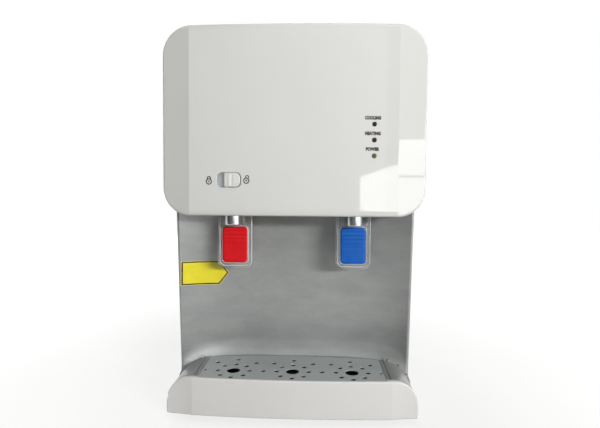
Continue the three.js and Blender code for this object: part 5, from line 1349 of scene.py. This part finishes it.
def coil(node):
    """A return spring: a circle of wire swept up a helix that rises evenly with its turn, its ends closed."""
    low, high = corners(node)
    wire, turns = 0.6, 4
    turn = np.linspace(0, 2 * math.pi * turns, 24 * turns + 1)[:, None]
    centre = (low + high) / 2
    rise = np.linspace(low[2] + wire, high[2] - wire, len(turn))[:, None]
    around = np.arange(10) * (math.pi / 5)
    thick = np.r_[0, np.full(len(turn), wire), 0][:, None]
    turn, rise = (np.concatenate([a[:1], a, a[-1:]]) for a in (turn, rise))
    out = (high[0] - low[0]) / 2 - wire + thick * np.cos(around)
    x, y, z = centre[0] + np.cos(turn) * out, centre[1] + np.sin(turn) * out, rise + thick * np.sin(around)
    return Patches().grid(np.stack([x, y, z], -1), closed=True)


def dress(node, material):
    """Gives a CAD node its material."""
    mesh = frame["nodes"][node].data
    mesh.materials.clear()
    mesh.materials.append(material)


for node, material, rounding in (
    ("left_side_panel", gloss_white, 0.5),
    ("right_side_panel", gloss_white, 0.5),
    ("back_panel", etched_white, 0.4),
    ("base_pan", etched_white, 0.5),
    ("foot_front_left", rubber, 0.8),
    ("foot_front_right", rubber, 0.8),
    ("foot_rear_left", rubber, 0.8),
    ("foot_rear_right", rubber, 0.8),
    ("power_inlet", black_plastic, 0.4),
    ("switch_bezel", black_plastic, 0.5),
    ("hot_switch_rocker", red_plastic, 0.4),
    ("cold_switch_rocker", black_plastic, 0.4),
    ("drain_outlet", black_plastic, 0.3),
    ("drain_cap", silicone, 0.4),
    ("hot_tap_nut", black_plastic, 0.5),
    ("cold_tap_nut", black_plastic, 0.5),
    ("fan_frame", black_plastic, 0.4),
    ("fan_rotor", black_plastic, 0.3),
):
    refine(node, material, rounding)

for material, names in (
    (stainless, "cold_tank hot_tank heater_band hot_tap_pin cold_tap_pin"),
    (aluminium, "cold_block heat_sink"),
    (galvanised, "tank_shelf hot_tank_stand"),
    (silicone, "tank_separator hot_tap_stem cold_tap_stem cold_hose hot_hose feed_hose drain_hose"),
    (foam, "cold_tank_foam"),
    (felt, "hot_tank_jacket"),
    (circuit, "lamp_board power_board"),
    (ceramic, "peltier_module"),
    (black_plastic, "hot_thermostat"),
):
    for node in names.split():
        dress(node, material)

# The return springs, drawn as coils, each with its own copy of its mesh.
for side in ("hot", "cold"):
    node = f"{side}_tap_spring"
    low, high = corners(node)
    spring = piece(f"{side}_tap_coil", coil(node), "housing", stainless, node, sharp=60)
    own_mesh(spring)


# ---------------------------------------------------------------- floor, lights and camera
EYE = Vector((0.02578, -0.66367, 0.27046))
TURN, FALL, ROLL = (math.radians(angle) for angle in (1.96, 2.3, 0.44))


def aim():
    """The camera's matrix: turned to the left, tipped down, then rolled."""
    forward = Vector((-math.sin(TURN) * math.cos(FALL), math.cos(TURN) * math.cos(FALL), -math.sin(FALL)))
    level = Vector((math.cos(TURN), math.sin(TURN), 0))
    upward = level.cross(forward)
    right = level * math.cos(ROLL) + upward * math.sin(ROLL)
    up = upward * math.cos(ROLL) - level * math.sin(ROLL)
    return Matrix.Translation(EYE) @ Matrix((right, up, -forward)).transposed().to_4x4()


camera = put("camera", bpy.data.cameras.new("camera"))
camera.data.lens = 25.8
camera.data.sensor_width = 36
camera.data.clip_start = 0.01
camera.matrix_world = aim()
bpy.context.scene.camera = camera


def softbox(name, centre, target, width, height, power):
    """A soft rectangular lamp that faces target."""
    light = bpy.data.lights.new(name, "AREA")
    light.shape = "RECTANGLE"
    light.size, light.size_y = width, height
    light.energy = power
    box = put(name, light)
    direction = Vector(target) - Vector(centre)
    box.matrix_world = Matrix.Translation(centre) @ direction.to_track_quat("-Z", "Y").to_matrix().to_4x4()
    return box


# The panes of a window at the front right, which show only in reflections.
softbox("far_window", (0.75, -2.65, 0.3), (0, -2.65, 0.3), 2.1, 0.32, 12.4).visible_diffuse = False
for name, low, high in (("near_window_low", 0.12, 0.34), ("near_window_high", 0.348, 0.472)):
    middle, tall = (low + high) / 2, high - low
    softbox(name, (0.75, -0.93, middle), (0, -0.93, middle), 1.25, tall, 20 * tall).visible_diffuse = False
# The lamps that light the object. All but the one overhead leave no reflection of their own.
softbox("key", (1.2, -1.85, 0.63), (0, 0, 0.25), 0.9, 0.16, 36.0).visible_glossy = False
softbox("overhead", (0.2, -0.75, 1.35), (0, 0, 0.15), 0.9, 0.9, 4.5)
softbox("rear_fill", (-0.9, 2.2, 1.0), (0, 0.2, 0.25), 1.4, 1.2, 34.0).visible_glossy = False
for name, across, power in (("left_fill", -2.2, 20.0), ("right_fill", 2.2, 14.0)):
    softbox(name, (across, 0.7, 0.6), (0, 0.15, 0.25), 1.2, 1.0, power).visible_glossy = False
# A dim panel in front, which shows only in the gloss of the cover.
softbox("front_fill", (-0.45, -2.6, 0.9), (-0.45, 0, 0.9), 2.5, 1.5, 11.0).visible_diffuse = False

# The room: white to the camera, and to reflections that look back past the object, and grey elsewhere.
world = bpy.data.worlds.new("studio")
bpy.context.scene.world = world
world.use_nodes = True
world.node_tree.nodes.clear()
path = add(world, "ShaderNodeLightPath")
direction = add(world, "ShaderNodeTexCoord")
across = add(world, "ShaderNodeSeparateXYZ", Vector=direction.outputs["Generated"])
behind = add(world, "ShaderNodeMapRange", Value=across.outputs["Y"], From__Min=0.35, From__Max=0.7)
mirrored = add(
    world, "ShaderNodeMath", {"operation": "MAXIMUM"},
    i0=path.outputs["Is Glossy Ray"], i1=path.outputs["Is Transmission Ray"],
)
lit = add(
    world, "ShaderNodeMath", {"operation": "MULTIPLY"},
    i0=mirrored.outputs["Value"], i1=behind.outputs["Result"],
)
white = add(
    world, "ShaderNodeMath", {"operation": "MAXIMUM"},
    i0=lit.outputs["Value"], i1=path.outputs["Is Camera Ray"],
)
front = add(
    world, "ShaderNodeMix", {"data_type": "RGBA"}, Factor=mirrored.outputs["Value"],
    A=shade("343536"), B=shade("343434"),
)
room = add(
    world, "ShaderNodeMix", {"data_type": "RGBA"}, Factor=white.outputs["Value"],
    A=front.outputs["Result"], B=shade("ffffff"),
)
backdrop = add(world, "ShaderNodeBackground", Color=room.outputs["Result"])
add(world, "ShaderNodeOutputWorld", Surface=backdrop.outputs["Background"])


def floor():
    """A wide plain floor: matt and pale, lifted to white for the camera so that only the shadow shows."""
    mesh = bpy.data.meshes.new("floor")
    reach = 6.0
    points = [(-reach, -reach, 0), (reach, -reach, 0), (reach, reach, 0), (-reach, reach, 0)]
    mesh.from_pydata(points, [], [(0, 1, 2, 3)])
    material = bpy.data.materials.new("matt_white_paper")
    material.use_nodes = True
    material.node_tree.nodes.clear()
    paper = add(material, "ShaderNodeBsdfDiffuse", Color=shade("8e8e8c"))
    light_path = add(material, "ShaderNodeLightPath")
    place = add(material, "ShaderNodeTexCoord").outputs["Object"]
    distance = add(material, "ShaderNodeVectorMath", {"operation": "LENGTH"}, i0=place).outputs["Value"]
    level = add(
        material, "ShaderNodeMapRange", Value=distance,
        From__Min=0.25, From__Max=0.9, To__Min=0.74, To__Max=1.0,
    )
    across = add(material, "ShaderNodeSeparateXYZ", Vector=place)
    table = add(material, "ShaderNodeMapRange", Value=across.outputs["Y"], From__Min=-0.8, From__Max=-0.65)
    mirrored = add(
        material, "ShaderNodeMath", {"operation": "MAXIMUM"},
        i0=light_path.outputs["Is Glossy Ray"], i1=light_path.outputs["Is Transmission Ray"],
    )
    on_table = add(
        material, "ShaderNodeMath", {"operation": "MULTIPLY"},
        i0=mirrored.outputs["Value"], i1=table.outputs["Result"],
    )
    seen = add(
        material, "ShaderNodeMath", {"operation": "MAXIMUM"},
        i0=light_path.outputs["Is Camera Ray"], i1=on_table.outputs["Value"],
    )
    strength = add(
        material, "ShaderNodeMath", {"operation": "MULTIPLY"},
        i0=seen.outputs["Value"], i1=level.outputs["Result"],
    )
    glow = add(material, "ShaderNodeEmission", Color=shade("ffffff"), Strength=strength.outputs["Value"])
    both = add(material, "ShaderNodeAddShader", i0=paper.outputs["BSDF"], i1=glow.outputs["Emission"])
    add(material, "ShaderNodeOutputMaterial", Surface=both.outputs["Shader"])
    mesh.materials.append(material)
    put("floor", mesh)


floor()
bpy.context.scene.view_settings.view_transform = "Standard"
